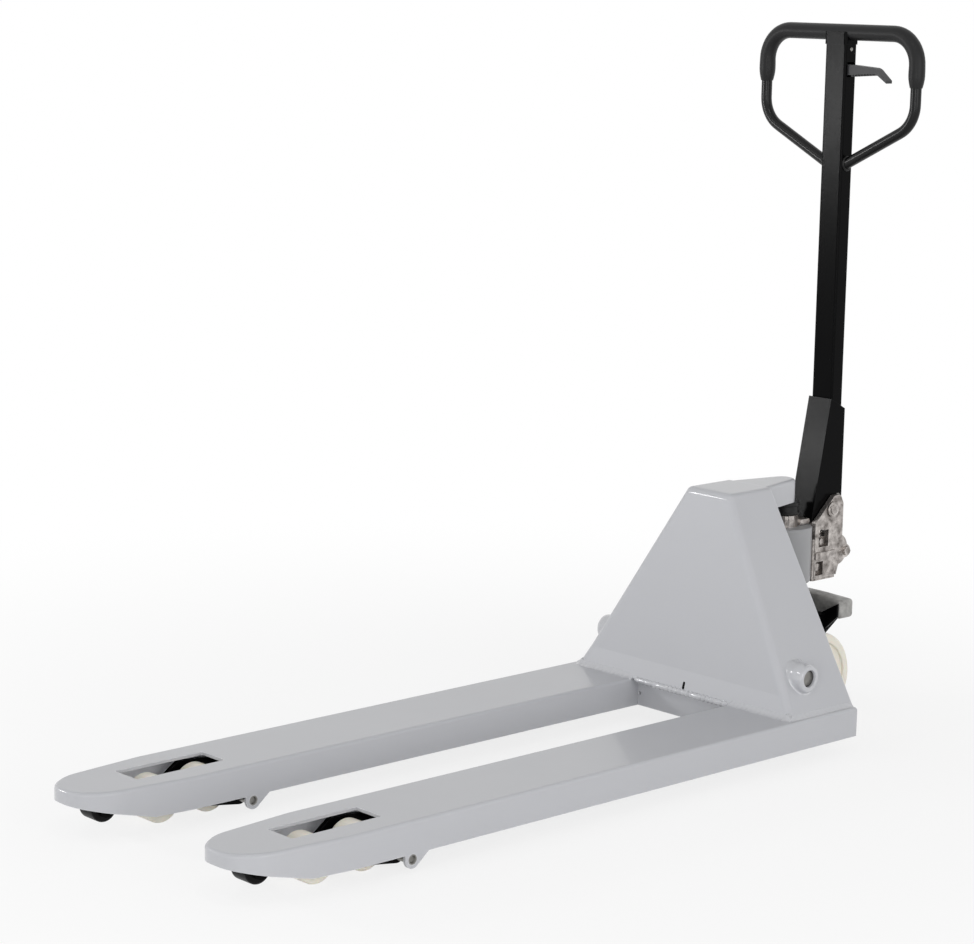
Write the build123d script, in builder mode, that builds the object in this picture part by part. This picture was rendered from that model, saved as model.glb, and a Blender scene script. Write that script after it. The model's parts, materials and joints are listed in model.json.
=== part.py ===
from build123d import *
import math
import os

os.makedirs("parts", exist_ok=True)

# Hand pallet truck, lowered, with the tiller upright and straight ahead.
# Millimetres. +X runs from the fork tips to the tiller, +Z is up, the floor is z = 0 and y = 0 is
# the middle of the truck. Left is the operator's left, the -Y side.
# Distances named "_from_tip" run along +X from the fork tips.

# Clearances
seat_gap = 0.02  # between a pressed pin and its seat
running_gap = 0.05  # radial, a shaft in its bore
side_gap = 1.5  # between plates that swing past each other

# Forks
fork_length = 1305.0
fork_width = 150.0
fork_spread = 525.0
lowered_height = 80.0
flange_bottom = 29.0
fork_plate = 5.0
fork_edge_radius = 6.0
nose_taper = 190.0
nose_shoulder = 44.0
nose_shoulder_half = 60.0
nose_shoulder_radius = 80.0
nose_tip_half = 30.0
nose_tip_radius = 44.0
nose_lip = 57.5
nose_rise = 123.0
window_corner = 3.0
window_side_gap = 4.0
window_front_run = 50.0  # ahead of the front roller's axle
window_rear_run = 25.0  # behind the rear roller's axle

# Load rollers, two in a rocking bogie under each fork
roller_diameter = 70.0
roller_width = 50.0
roller_edge_radius = 4.0
roller_spacing = 92.0
bogie_from_tip = 213.0
roller_axle_diameter = 20.0
bogie_plate = 5.0
bogie_end_radius = 13.0
bogie_pin_diameter = 14.0

# Roller frame, the swinging arms that carry a bogie
lift_height = 100.0
frame_pin_from_tip = 305.0
frame_pin_height = 21.0
frame_pin_diameter = 16.0
frame_plate = 8.0
frame_end_radius = 14.0
frame_hump_back = 62.0
frame_hump_height = 44.0
frame_hump_radius = 7.0
frame_tube_ahead = 14.0
frame_tube_rise = 3.0
frame_tube_diameter = 16.0
lever_radius = 42.0  # frame pin to push rod pin
push_pin_diameter = 12.0
push_eye_radius = 11.0
lug_radius = 14.0
lug_run = 32.0

# Entry rollers in the fork noses
entry_from_tip = 65.0
entry_height = 43.0
entry_diameter = 46.0
entry_width = 40.0
entry_edge_radius = 5.0
entry_axle_diameter = 12.0
entry_bracket_half = 14.0

# Push rods inside the forks
push_rod_diameter = 14.0
push_eye_width = 14.0
rod_plate = 14.0
rod_slot_gap = 1.2
rod_plate_wall = 6.0
rod_plate_lap = 6.0

# Body of the frame
body_depth = 150.0
body_lean = 46.0
body_top = 425.0
body_top_half = 50.0
body_side_inset = 10.4  # inside the forks' outer faces at the body's foot
body_plate = 5.0
body_crease_height = 115.0
body_foot_run = 9.0
body_crease_radius = 13.0
body_top_radius = 12.0
weld_seat_depth = 0.5
weld_seat_margin = 3.0  # ahead of the body's foot
skirt_slot_width = 6.0
skirt_slot_height = 14.0
skirt_slot_middle_height = 90.0
skirt_slot_y = -6.0
heel_plate = 6.0
heel_depth = 110.0
heel_setback = 6.0
drain_diameter = 6.0
drain_drop = 29.0
drain_inset = 4.5
rod_port_front = 10.0
rod_port_length = 104.0
rod_port_width = 36.0

# Head of the frame, which stands on the lift ram
head_half = 42.0
head_lap = 62.0
head_run = 5.0
head_nose_radius = 22.0
head_nose_ahead = 7.0  # ahead of the steering axis
head_depth = 42.0
head_edge_radius = 7.0
head_pocket_wall = 11.0
head_pocket_roof = 12.0

# Steering axis, lift ram and pump
steer_setback = 97.0  # steering axis behind the rear end of the forks
ram_diameter = 36.0
ram_bottom = 153.0
ram_seat_diameter = 52.0
ram_seat_height = 22.0
cylinder_diameter = 52.0
cylinder_bottom = 135.0
cylinder_floor = 10.0
reservoir_diameter = 100.0
reservoir_bottom = 240.0
reservoir_top = 340.0
reservoir_edge_radius = 4.0
gland_diameter = 50.0
gland_height = 20.0
gland_chamfer = 1.5

# Pump head casting behind the reservoir
head_casting_half = 36.0
head_casting_bottom = 238.0
head_casting_top = 313.0
head_casting_length = 64.0
head_casting_front = 39.0
head_casting_radius = 5.0
head_neck_half = 24.0
head_neck_front = 24.0
ear_inner = 28.0
ear_outer = 37.0
ear_front = 43.0
ear_front_height = 342.0
ear_peak_height = 387.0
ear_peak_front = 92.0
ear_peak_rear = 109.0
ear_rear = 117.0
ear_rear_height = 371.0
ear_corner_radius = 6.0
ear_window_length = 26.0
ear_window_height = 30.0
ear_window_front = 53.0
ear_window_bottom = 298.0
ear_pocket_length = 20.0
ear_pocket_height = 25.0
ear_pocket_front = 47.0
ear_pocket_bottom = 247.0
ear_pocket_depth = 12.0
ear_lobe_diameter = 56.0
ear_lobe_back = 104.0
ear_lobe_height = 288.0
barrel_diameter = 36.0
barrel_top = 317.0
valve_boss_diameter = 24.0
valve_boss_height = 283.0
valve_boss_rear = 10.0
valve_boss_inner = 16.0
valve_boss_outer = 38.0
valve_plug_diameter = 17.0
valve_plug_height = 5.0

# Tiller pivot, pump roller and plunger
tiller_setback = 87.0  # tiller pivot behind the steering axis
tiller_pivot_height = 363.0
tiller_swing = 75.0
pivot_pin_diameter = 20.0
pivot_bush_diameter = 28.0
pump_roller_throw = 33.0
pump_roller_diameter = 22.0
pump_roller_width = 20.0
pump_roller_pin_diameter = 10.0
plunger_diameter = 24.0
plunger_gap = 1.0  # under the pump roller at rest
plunger_bottom = 293.0
plunger_wall = 3.0
plunger_crown = 12.0
plunger_bore_bottom = 243.0
spring_wire = 2.4
spring_side_gap = 1.4
spring_turns = 13

# Release lever of the pump
release_from_axis = 59.0
release_seat_rise = 13.0  # above the casting's top
release_reach = 25.0
release_rise = 12.0
release_hub_diameter = 14.0
release_tip_diameter = 9.0
release_width = 10.0
release_cheek = 5.0
release_trunnion_diameter = 8.0

# Steer yoke and wheels
wheel_diameter = 160.0
wheel_width = 50.0
wheel_inner = 46.0
wheel_edge_radius = 7.0
wheel_recess = 5.0
wheel_rim = 16.0
wheel_hub_diameter = 66.0
steer_axle_diameter = 20.0
bearing_diameter = 47.0
bearing_width = 14.0
yoke_length = 60.0
yoke_half_width = 38.0
yoke_below_axle = 22.0
yoke_corner_radius = 8.0
yoke_deck_top = 183.0
yoke_deck_half = 60.0
yoke_deck_front = 25.0
yoke_deck_rear = 87.0
yoke_deck_rear_height = 14.0
yoke_deck_low = 145.0
yoke_deck_low_front = 51.0
yoke_wheel_gap = 6.0
yoke_hub_diameter = 88.0
yoke_hub_top = 195.0
axle_boss_diameter = 32.0
axle_side_play = 0.4
axle_clip_diameter = 32.0
axle_clip_width = 3.0
axle_stub = 5.0

# Cast guard behind the steer wheels
guard_setback = 55.0
guard_depth = 38.0
guard_half_width = 90.0
guard_end_height = 209.0
guard_mid_height = 212.0
guard_mid_half = 22.0
guard_pad_bottom = 176.0
guard_pad_width = 19.0
guard_edge_radius = 6.0
guard_screw_spread = 80.0
guard_screw_diameter = 8.0
guard_screw_head_diameter = 14.0
guard_screw_head = 6.0
guard_screw_room = 0.5

# Thrust collar that links the pump to the rocker
thrust_height = 6.0
collar_height = 22.0
collar_diameter = 80.0
collar_ear_inner = 14.0
collar_ear_outer = 24.0
collar_ear_wall = 6.0
collar_slot_gap = 2.5
collar_ear_lap = 27.0

# Rocker, the cross shaft that turns lift into push
rocker_ahead = 100.0  # ahead of the rear end of the forks
rocker_height = 140.0
rocker_diameter = 34.0
rocker_shoulder_gap = 4.0
rocker_journal_diameter = 28.0
rocker_journal_recess = 5.0
rocker_boss_diameter = 44.0
rocker_boss_setback = 22.5  # inside the forks' outer faces
rocker_boss_length = 50.0
rocker_boss_edge = 4.0
rocker_arm_plate = 10.0
rocker_arm_end_radius = 13.0
rocker_hub_radius = 21.0
rocker_pin_diameter = 14.0
collar_pin_ahead = 72.0  # ahead of the steering axis
collar_pin_height = 219.0
push_arm_end_radius = 12.0

# Tiller: folded base, tube, handle loop and grips
base_plate = 3.0
base_bottom = 347.0
base_front_bottom = 43.0
base_front_top = 2.0
base_front_height = 560.0
base_rear = 36.0
base_rear_drop = 20.0  # below the front panel's top
tube_width = 46.0
tube_depth = 30.0
tube_wall = 3.0
tube_corner_radius = 4.0
tube_front = 1.5
tube_bottom = 427.0
bar_height = 1199.0
tube_top_drop = 21.0  # drops are below the middle of the bar
bar_diameter = 19.0
bar_wall = 2.0
loop_half = 168.0
loop_corner_radius = 52.0
loop_bend_radius = 55.0
loop_bend_drop = 152.0
loop_joint_drop = 232.0
cap_width = 50.0
cap_depth = 34.0
cap_rise = 1.0  # above the middle of the bar
cap_radius = 6.0
grip_diameter = 28.0
grip_leg_drop = 90.0
grip_taper = 16.0
grip_tip_diameter = 23.0

# Control lever, its rod and their pins
lever_drop = 64.0
lever_pivot_y = -8.0
lever_link = 18.0
lever_swing = 12.0
lever_thickness = 16.0
lever_root_half = 9.0
lever_end_half = 5.0
lever_reach = 77.0
lever_bend_radius = 19.0
lever_tip_reach = 101.0
lever_tip_drop = 18.0
lever_tip_half = 2.5
lever_hub_radius = 10.0
lever_pin_diameter = 8.0
lever_tongue = 6.0
lever_slot_gap = 4.0
link_pin_diameter = 5.0
link_gap = 0.6
control_rod_diameter = 8.0
control_rod_rise = 8.0  # above the bottom of the tube
clevis_width = 14.0
clevis_depth = 12.0
clevis_above = 7.0
clevis_below = 18.0
clevis_root = 8.0

# Places worked out from the sizes above
steer_from_tip = fork_length + steer_setback
pivot_from_tip = steer_from_tip + tiller_setback
roller_turn_half = math.radians(tiller_swing / 2)
pump_roller_run = pump_roller_throw * math.cos(roller_turn_half)
pump_roller_rise = pump_roller_throw * math.sin(roller_turn_half)
plunger_from_tip = pivot_from_tip + (pump_roller_run + pump_roller_throw) / 2
valve_from_tip = plunger_from_tip + valve_boss_rear
overall_length = valve_from_tip + valve_boss_diameter / 2
tip_x = -overall_length / 2

rear_x = tip_x + fork_length
steer_x = tip_x + steer_from_tip
pivot_x = tip_x + pivot_from_tip
plunger_x = tip_x + plunger_from_tip
valve_x = tip_x + valve_from_tip
bogie_x = tip_x + bogie_from_tip
frame_pin_x = tip_x + frame_pin_from_tip
entry_x = tip_x + entry_from_tip
body_front_x = rear_x - body_depth
body_base = lowered_height - weld_seat_depth
weld_seat_x = body_front_x - body_foot_run - weld_seat_margin
heel_x = body_front_x + heel_setback
rocker_x = rear_x - rocker_ahead
collar_pin_x = steer_x - collar_pin_ahead
tube_x = pivot_x + tube_front + tube_depth / 2
guard_x = steer_x + guard_setback
base_rear_height = base_front_height - base_rear_drop
tube_top = bar_height - tube_top_drop
loop_bend_height = bar_height - loop_bend_drop
loop_joint_height = bar_height - loop_joint_drop
cap_top = bar_height + cap_rise
grip_end_height = bar_height - grip_leg_drop
lever_height = bar_height - lever_drop
control_rod_bottom = tube_bottom + control_rod_rise

fork_y = (fork_spread - fork_width) / 2
fork_half = fork_width / 2
rocker_boss_outer = fork_spread / 2 - rocker_boss_setback
rocker_boss_inner = rocker_boss_outer - rocker_boss_length
rocker_half = rocker_boss_inner - rocker_shoulder_gap
body_side_run = fork_spread / 2 - body_side_inset - body_top_half
body_side_slope = body_side_run / (body_top - body_base)
fork_inside_half = fork_half - fork_plate
fork_underside = lowered_height - fork_plate
roller_radius = roller_diameter / 2
wheel_radius = wheel_diameter / 2
bogie_inner = roller_width / 2 + side_gap
bogie_outer = bogie_inner + bogie_plate
frame_inner = bogie_outer + side_gap
frame_outer = frame_inner + frame_plate

# Swing of a roller frame that gives the full lift, and the push that it needs
arm_run = frame_pin_x - bogie_x
arm_rise = roller_radius - frame_pin_height
arm_radius = math.hypot(arm_run, arm_rise)
frame_swing = math.atan2(arm_rise, arm_run) - math.asin((arm_rise - lift_height) / arm_radius)
push_stroke = 2 * lever_radius * math.sin(frame_swing / 2)
push_pin_x = frame_pin_x + lever_radius * math.sin(frame_swing / 2)
push_pin_z = frame_pin_height + lever_radius * math.cos(frame_swing / 2)
push_pin_hump = lever_radius * (1 - math.cos(frame_swing / 2))

# Swing of the rocker over the same lift, and the arm that gives the same push
link_run = collar_pin_x - rocker_x
link_rise = collar_pin_height - rocker_height
link_radius = math.hypot(link_run, link_rise)
rocker_swing = math.atan2(link_rise, link_run) - math.asin((link_rise - lift_height) / link_radius)
push_arm = push_stroke / (2 * math.sin(rocker_swing / 2))
rod_pin_x = rocker_x + push_arm * math.sin(rocker_swing / 2)
rod_pin_z = rocker_height - push_arm * math.cos(rocker_swing / 2)
rod_pin_dip = push_arm * (1 - math.cos(rocker_swing / 2))
collar_slot_run = link_radius - link_run

print("frame swing", round(math.degrees(frame_swing), 4))
print("rocker swing", round(math.degrees(rocker_swing), 4))
print("push stroke", round(push_stroke, 3), "plunger stroke", round(2 * pump_roller_rise, 3))
print("tip_x", round(tip_x, 3), "overall length", round(overall_length, 3))

sides = (("left", -1), ("right", 1))


def side_plane(y):
    """Upright plane along the truck at a given y; sketch axes are x and z, the normal is -Y."""
    return Plane.XZ.offset(-y)


def cross_plane(x):
    """Upright plane across the truck at a given x; sketch axes are y and z, the normal is +X."""
    return Plane.YZ.offset(x)


def level(z):
    """Level plane at a given height."""
    return Plane.XY.offset(z)


def write(piece, label):
    """Label a finished piece and write its file."""
    piece.part.label = label
    export_step(piece.part, f"parts/{label}.step")


def fork_outline(y_mid):
    """Plan of one fork: parallel sides that draw in to a round nose."""
    with BuildSketch() as outline:
        with BuildLine():
            Polyline(
                (rear_x, y_mid - fork_half),
                (tip_x + nose_taper, y_mid - fork_half),
                (tip_x + nose_shoulder, y_mid - nose_shoulder_half),
                (tip_x, y_mid - nose_tip_half),
                (tip_x, y_mid + nose_tip_half),
                (tip_x + nose_shoulder, y_mid + nose_shoulder_half),
                (tip_x + nose_taper, y_mid + fork_half),
                (rear_x, y_mid + fork_half),
                close=True,
            )
        make_face()
        corners = outline.vertices().sort_by(Axis.X)
        fillet(corners[0:2], nose_tip_radius)
        shoulders = [v for v in outline.vertices() if abs(v.X - tip_x - nose_shoulder) < seat_gap]
        fillet(shoulders, nose_shoulder_radius)
    return outline.sketch


# Forks: pressed channels with the roller window, lugs for the roller frame and entry roller brackets
window_front_x = bogie_x - roller_spacing / 2 - window_front_run
window_rear_x = bogie_x + roller_spacing / 2 + window_rear_run
window_width = roller_width + 2 * window_side_gap
rod_port_x = body_front_x + rod_port_front + rod_port_length / 2
arm_offset = rod_plate / 2 + side_gap  # push arm plate beside the rod's end plate

for side_name, side in sides:
    y_mid = side * fork_y
    with BuildPart() as fork:
        with BuildSketch(level(flange_bottom)):
            add(fork_outline(y_mid))
        extrude(amount=lowered_height - flange_bottom)
        fillet(fork.faces().sort_by(Axis.Z)[-1].edges(), fork_edge_radius)
        with BuildSketch(level(flange_bottom)):
            add(fork_outline(y_mid))
            offset(amount=-fork_plate, mode=Mode.REPLACE)
        extrude(amount=fork_underside - flange_bottom, mode=Mode.SUBTRACT)
        with BuildSketch(side_plane(y_mid)):
            with BuildLine():
                Polyline(
                    (tip_x - fork_plate, flange_bottom - fork_plate),
                    (tip_x + nose_rise, flange_bottom - fork_plate),
                    (tip_x + nose_rise, flange_bottom),
                    (tip_x, nose_lip),
                    (tip_x - fork_plate, nose_lip),
                    close=True,
                )
            make_face()
        extrude(amount=fork_width, both=True, mode=Mode.SUBTRACT)
        with BuildSketch(level(lowered_height)):
            with Locations(((window_front_x + window_rear_x) / 2, y_mid)):
                RectangleRounded(window_rear_x - window_front_x, window_width, window_corner)
            with Locations((rod_port_x, y_mid - side * arm_offset / 2)):
                Rectangle(rod_port_length, rod_port_width)
        extrude(amount=-2 * fork_plate, mode=Mode.SUBTRACT)
        with BuildSketch(level(body_base)):
            with Locations(((weld_seat_x + rear_x) / 2, y_mid)):
                Rectangle(rear_x - weld_seat_x, fork_width)
        extrude(amount=weld_seat_depth, mode=Mode.SUBTRACT)
        lug_slant = lug_radius * math.cos(math.pi / 4)
        for lug_y in (y_mid - fork_half + fork_plate / 2, y_mid + fork_half - fork_plate / 2):
            with BuildSketch(side_plane(lug_y)):
                with BuildLine():
                    Polyline(
                        (frame_pin_x - lug_radius, frame_pin_height),
                        (frame_pin_x - lug_radius, flange_bottom),
                        (frame_pin_x + lug_run, flange_bottom),
                        (frame_pin_x + lug_slant, frame_pin_height - lug_slant),
                        close=True,
                    )
                make_face()
                with Locations((frame_pin_x, frame_pin_height)):
                    Circle(lug_radius)
            extrude(amount=fork_plate / 2, both=True)
            with BuildSketch(side_plane(lug_y)):
                with Locations((frame_pin_x, frame_pin_height)):
                    Circle(frame_pin_diameter / 2 + seat_gap)
            extrude(amount=fork_plate, both=True, mode=Mode.SUBTRACT)
        for bracket_side in (-1, 1):
            bracket_y = y_mid + bracket_side * (entry_width / 2 + side_gap + fork_plate / 2)
            with BuildSketch(side_plane(bracket_y)):
                with Locations((entry_x, entry_height)):
                    Circle(entry_bracket_half)
                with Locations((entry_x, (entry_height + fork_underside) / 2)):
                    Rectangle(2 * entry_bracket_half, fork_underside - entry_height)
                with Locations((entry_x, entry_height)):
                    Circle(entry_axle_diameter / 2 + seat_gap, mode=Mode.SUBTRACT)
            extrude(amount=fork_plate / 2, both=True)
    write(fork, f"{side_name}_fork")

# Stub pins in the lugs, on which the roller frames swing
pin_outer = fork_half - seat_gap
with BuildPart() as frame_pins:
    for side_name, side in sides:
        for end in (-1, 1):
            with BuildSketch(side_plane(side * fork_y + end * (frame_inner + pin_outer) / 2)):
                with Locations((frame_pin_x, frame_pin_height)):
                    Circle(frame_pin_diameter / 2)
            extrude(amount=(pin_outer - frame_inner) / 2, both=True)
write(frame_pins, "frame_pins")

# Axles of the entry rollers, seated in the nose brackets
entry_axle_half = entry_width / 2 + side_gap + fork_plate
with BuildPart() as entry_axles:
    for side_name, side in sides:
        with BuildSketch(side_plane(side * fork_y)):
            with Locations((entry_x, entry_height)):
                Circle(entry_axle_diameter / 2)
        extrude(amount=entry_axle_half, both=True)
write(entry_axles, "entry_axles")

# Entry rollers
for side_name, side in sides:
    with BuildPart() as entry_roller:
        with BuildSketch(side_plane(side * fork_y)):
            with Locations((entry_x, entry_height)):
                Circle(entry_diameter / 2)
                Circle(entry_axle_diameter / 2 + running_gap, mode=Mode.SUBTRACT)
        extrude(amount=entry_width / 2, both=True)
        rims = entry_roller.edges().filter_by(GeomType.CIRCLE).group_by(SortBy.RADIUS)[-1]
        fillet(rims, entry_edge_radius)
    write(entry_roller, f"{side_name}_entry_roller")

# Load rollers
for side_name, side in sides:
    for place_name, place in (("front", -1), ("rear", 1)):
        roller_x = bogie_x + place * roller_spacing / 2
        with BuildPart() as roller:
            with BuildSketch(side_plane(side * fork_y)):
                with Locations((roller_x, roller_radius)):
                    Circle(roller_radius)
                    Circle(roller_axle_diameter / 2 + running_gap, mode=Mode.SUBTRACT)
            extrude(amount=roller_width / 2, both=True)
            rims = roller.edges().filter_by(GeomType.CIRCLE).group_by(SortBy.RADIUS)[-1]
            fillet(rims, roller_edge_radius)
        write(roller, f"{side_name}_{place_name}_roller")

# Bogie links, the two plates between a pair of load rollers, and the axles seated in them
for side_name, side in sides:
    y_mid = side * fork_y
    with BuildPart() as bogie_links:
        for end in (-1, 1):
            with BuildSketch(side_plane(y_mid + end * (bogie_inner + bogie_outer) / 2)):
                with Locations((bogie_x, roller_radius)):
                    SlotCenterToCenter(roller_spacing, 2 * bogie_end_radius)
                    Circle(bogie_pin_diameter / 2 + running_gap, mode=Mode.SUBTRACT)
                    with Locations((-roller_spacing / 2, 0), (roller_spacing / 2, 0)):
                        Circle(roller_axle_diameter / 2 + seat_gap, mode=Mode.SUBTRACT)
            extrude(amount=bogie_plate / 2, both=True)
    write(bogie_links, f"{side_name}_bogie_links")

    with BuildPart() as roller_axles:
        with BuildSketch(side_plane(y_mid)):
            with Locations((bogie_x, roller_radius)):
                with Locations((-roller_spacing / 2, 0), (roller_spacing / 2, 0)):
                    Circle(roller_axle_diameter / 2)
        extrude(amount=bogie_outer, both=True)
    write(roller_axles, f"{side_name}_roller_axles")

# Roller frames: two bell-crank arms joined by a cross tube, and the pins fixed in them
for side_name, side in sides:
    y_mid = side * fork_y
    with BuildPart() as roller_frame:
        for end in (-1, 1):
            with BuildSketch(side_plane(y_mid + end * (frame_inner + frame_outer) / 2)):
                with Locations((bogie_x, roller_radius), (frame_pin_x, frame_pin_height)):
                    Circle(frame_end_radius)
                with Locations((push_pin_x, push_pin_z)):
                    Circle(push_eye_radius)
                with Locations((frame_pin_x - frame_hump_back, frame_pin_height + frame_hump_height)):
                    Circle(frame_hump_radius)
                make_hull()
                with Locations((frame_pin_x, frame_pin_height)):
                    Circle(frame_pin_diameter / 2 + running_gap, mode=Mode.SUBTRACT)
                with Locations((bogie_x, roller_radius)):
                    Circle(bogie_pin_diameter / 2 + seat_gap, mode=Mode.SUBTRACT)
                with Locations((push_pin_x, push_pin_z)):
                    Circle(push_pin_diameter / 2 + seat_gap, mode=Mode.SUBTRACT)
            extrude(amount=frame_plate / 2, both=True)
        with BuildSketch(side_plane(y_mid)):
            with Locations((frame_pin_x + frame_tube_ahead, frame_pin_height + frame_tube_rise)):
                Circle(frame_tube_diameter / 2)
        extrude(amount=frame_inner, both=True)
    write(roller_frame, f"{side_name}_roller_frame")

    with BuildPart() as swing_pins:
        with BuildSketch(side_plane(y_mid)):
            with Locations((bogie_x, roller_radius)):
                Circle(bogie_pin_diameter / 2)
            with Locations((push_pin_x, push_pin_z)):
                Circle(push_pin_diameter / 2)
        extrude(amount=frame_outer, both=True)
    write(swing_pins, f"{side_name}_swing_pins")

# Push rods: a front eye, a round bar and a rear plate slotted for the rocker's pin
rod_slot_width = rocker_pin_diameter + 2 * rod_slot_gap
rod_slot_run = rod_pin_dip + push_pin_hump
rod_plate_half = rod_slot_width / 2 + rod_plate_wall
for side_name, side in sides:
    y_mid = side * fork_y
    with BuildPart() as push_rod:
        with BuildSketch(side_plane(y_mid)):
            with Locations((push_pin_x, push_pin_z)):
                Circle(push_eye_radius)
        extrude(amount=push_eye_width / 2, both=True)
        with BuildSketch(cross_plane(push_pin_x)):
            with Locations((y_mid, push_pin_z)):
                Circle(push_rod_diameter / 2)
        extrude(amount=rod_pin_x - push_pin_x - rod_plate_half + rod_plate_lap)
        with BuildSketch(side_plane(y_mid)):
            with Locations((rod_pin_x, rod_pin_z - rod_slot_run / 2)):
                SlotCenterToCenter(rod_slot_run, 2 * rod_plate_half, rotation=90)
        extrude(amount=rod_plate / 2, both=True)
        with BuildSketch(side_plane(y_mid)):
            with Locations((rod_pin_x, rod_pin_z - rod_slot_run / 2)):
                SlotCenterToCenter(rod_slot_run, rod_slot_width, rotation=90)
            with Locations((push_pin_x, push_pin_z)):
                Circle(push_pin_diameter / 2 + running_gap)
        extrude(amount=push_eye_width, both=True, mode=Mode.SUBTRACT)
    write(push_rod, f"{side_name}_push_rod")

# Heel beam between the forks
heel_half = fork_y - fork_half
with BuildPart() as cross_member:
    with BuildSketch(side_plane(0)):
        with BuildLine():
            Polyline(
                (heel_x, flange_bottom),
                (heel_x, body_base),
                (heel_x + heel_depth, body_base),
                (heel_x + heel_depth, flange_bottom),
                (heel_x + heel_depth - heel_plate, flange_bottom),
                (heel_x + heel_depth - heel_plate, body_base - heel_plate),
                (heel_x + heel_plate, body_base - heel_plate),
                (heel_x + heel_plate, flange_bottom),
                close=True,
            )
        make_face()
    extrude(amount=heel_half, both=True)
    with BuildSketch(cross_plane(heel_x)):
        with Locations((heel_half - drain_inset, lowered_height - drain_drop)):
            Circle(drain_diameter / 2)
    extrude(amount=heel_plate, mode=Mode.SUBTRACT)
write(cross_member, "cross_member")

# Body shell: leaning front panel and two side panels, open behind and below
def body_form(inset):
    """The body's outer form, or the room inside it when an inset is given."""
    bottom = body_base - inset
    foot_x = body_front_x - body_foot_run * (body_crease_height - bottom) / (body_crease_height - body_base)
    bottom_half = body_top_half + body_side_slope * (body_top - bottom)
    with BuildPart() as form:
        with BuildSketch(side_plane(0)):
            with BuildLine():
                Polyline(
                    (foot_x, bottom),
                    (body_front_x, body_crease_height),
                    (body_front_x + body_lean, body_top),
                    (rear_x + inset, body_top),
                    (rear_x + inset, bottom),
                    close=True,
                )
            make_face()
            if inset:
                offset(amount=-inset, kind=Kind.INTERSECTION, mode=Mode.REPLACE)
        extrude(amount=bottom_half, both=True)
        with BuildSketch(cross_plane(foot_x)):
            with BuildLine():
                Polyline(
                    (-bottom_half, bottom),
                    (-body_top_half, body_top),
                    (body_top_half, body_top),
                    (bottom_half, bottom),
                    close=True,
                )
            make_face()
            if inset:
                offset(amount=-inset, kind=Kind.INTERSECTION, mode=Mode.REPLACE)
        extrude(amount=2 * body_depth, mode=Mode.INTERSECT)
        side_edges = form.faces().filter_by(lambda f: abs(f.normal_at().Y) > 0.5).edges()
        front_edges = form.faces().filter_by(lambda f: f.normal_at().X < -0.5).edges()
        fillet([e for e in front_edges if e in side_edges], body_crease_radius - inset)
        top_rim = form.faces().sort_by(Axis.Z)[-1].edges()
        fillet([e for e in top_rim if e.center().X < rear_x - seat_gap], body_top_radius - inset)
    return form.part


with BuildPart() as body_shell:
    add(body_form(0))
    add(body_form(body_plate), mode=Mode.SUBTRACT)
    with BuildSketch(side_plane(0)):
        with Locations((rocker_x, rocker_height)):
            Circle(rocker_boss_diameter / 2 + seat_gap)
    extrude(amount=fork_spread, both=True, mode=Mode.SUBTRACT)
    with BuildSketch(cross_plane(body_front_x)):
        with Locations((skirt_slot_y, skirt_slot_middle_height)):
            SlotOverall(skirt_slot_height, skirt_slot_width, rotation=90)
    extrude(amount=2 * body_foot_run, both=True, mode=Mode.SUBTRACT)
write(body_shell, "body_shell")

# Bosses in the side panels, in which the rocker turns
with BuildPart() as rocker_bosses:
    for side_name, side in sides:
        with BuildSketch(side_plane(side * (rocker_boss_inner + rocker_boss_outer) / 2)):
            with Locations((rocker_x, rocker_height)):
                Circle(rocker_boss_diameter / 2)
                Circle(rocker_journal_diameter / 2 + running_gap, mode=Mode.SUBTRACT)
        extrude(amount=(rocker_boss_outer - rocker_boss_inner) / 2, both=True)
    boss_rims = rocker_bosses.edges().filter_by(GeomType.CIRCLE).group_by(SortBy.RADIUS)[-1]
    fillet([e for e in boss_rims if abs(e.center().Y) > rocker_boss_outer - seat_gap], rocker_boss_edge)
write(rocker_bosses, "rocker_bosses")

# Head of the frame: a tongue over the steering axis, seated under the shell's roof
head_bottom = body_top - head_depth
head_front_x = rear_x - head_lap
with BuildPart() as head_block:
    with BuildSketch(level(head_bottom)):
        with Locations((rear_x + (head_run - head_lap) / 2, 0)):
            Rectangle(head_lap + head_run, 2 * head_half)
        with Locations((steer_x - head_nose_ahead, 0)):
            Circle(head_nose_radius)
        make_hull()
    extrude(amount=head_depth)
    head_rim = head_block.faces().sort_by(Axis.Z)[-1].edges()
    fillet([e for e in head_rim if e.center().X > head_front_x + seat_gap], head_edge_radius)
    with BuildSketch(level(body_top)):
        with Locations((rear_x - head_lap / 2, 0)):
            Rectangle(head_lap, 2 * fork_half)
    extrude(amount=-body_plate, mode=Mode.SUBTRACT)
    with BuildSketch(level(head_bottom)):
        with Locations((rear_x - head_lap / 2 + head_pocket_wall, 0)):
            Rectangle(head_lap, 2 * (head_half - head_pocket_wall))
    extrude(amount=head_depth - head_pocket_roof, mode=Mode.SUBTRACT)
write(head_block, "head_block")

# Lift ram under the head, and the seat ring around its top
with BuildPart() as lift_ram:
    with BuildSketch(level(ram_bottom)):
        with Locations((steer_x, 0)):
            Circle(ram_diameter / 2)
    extrude(amount=head_bottom - ram_bottom)
write(lift_ram, "lift_ram")

with BuildPart() as ram_seat:
    with BuildSketch(level(head_bottom - ram_seat_height)):
        with Locations((steer_x, 0)):
            Circle(ram_seat_diameter / 2)
            Circle(ram_diameter / 2 + seat_gap, mode=Mode.SUBTRACT)
    extrude(amount=ram_seat_height)
write(ram_seat, "ram_seat")

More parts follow.
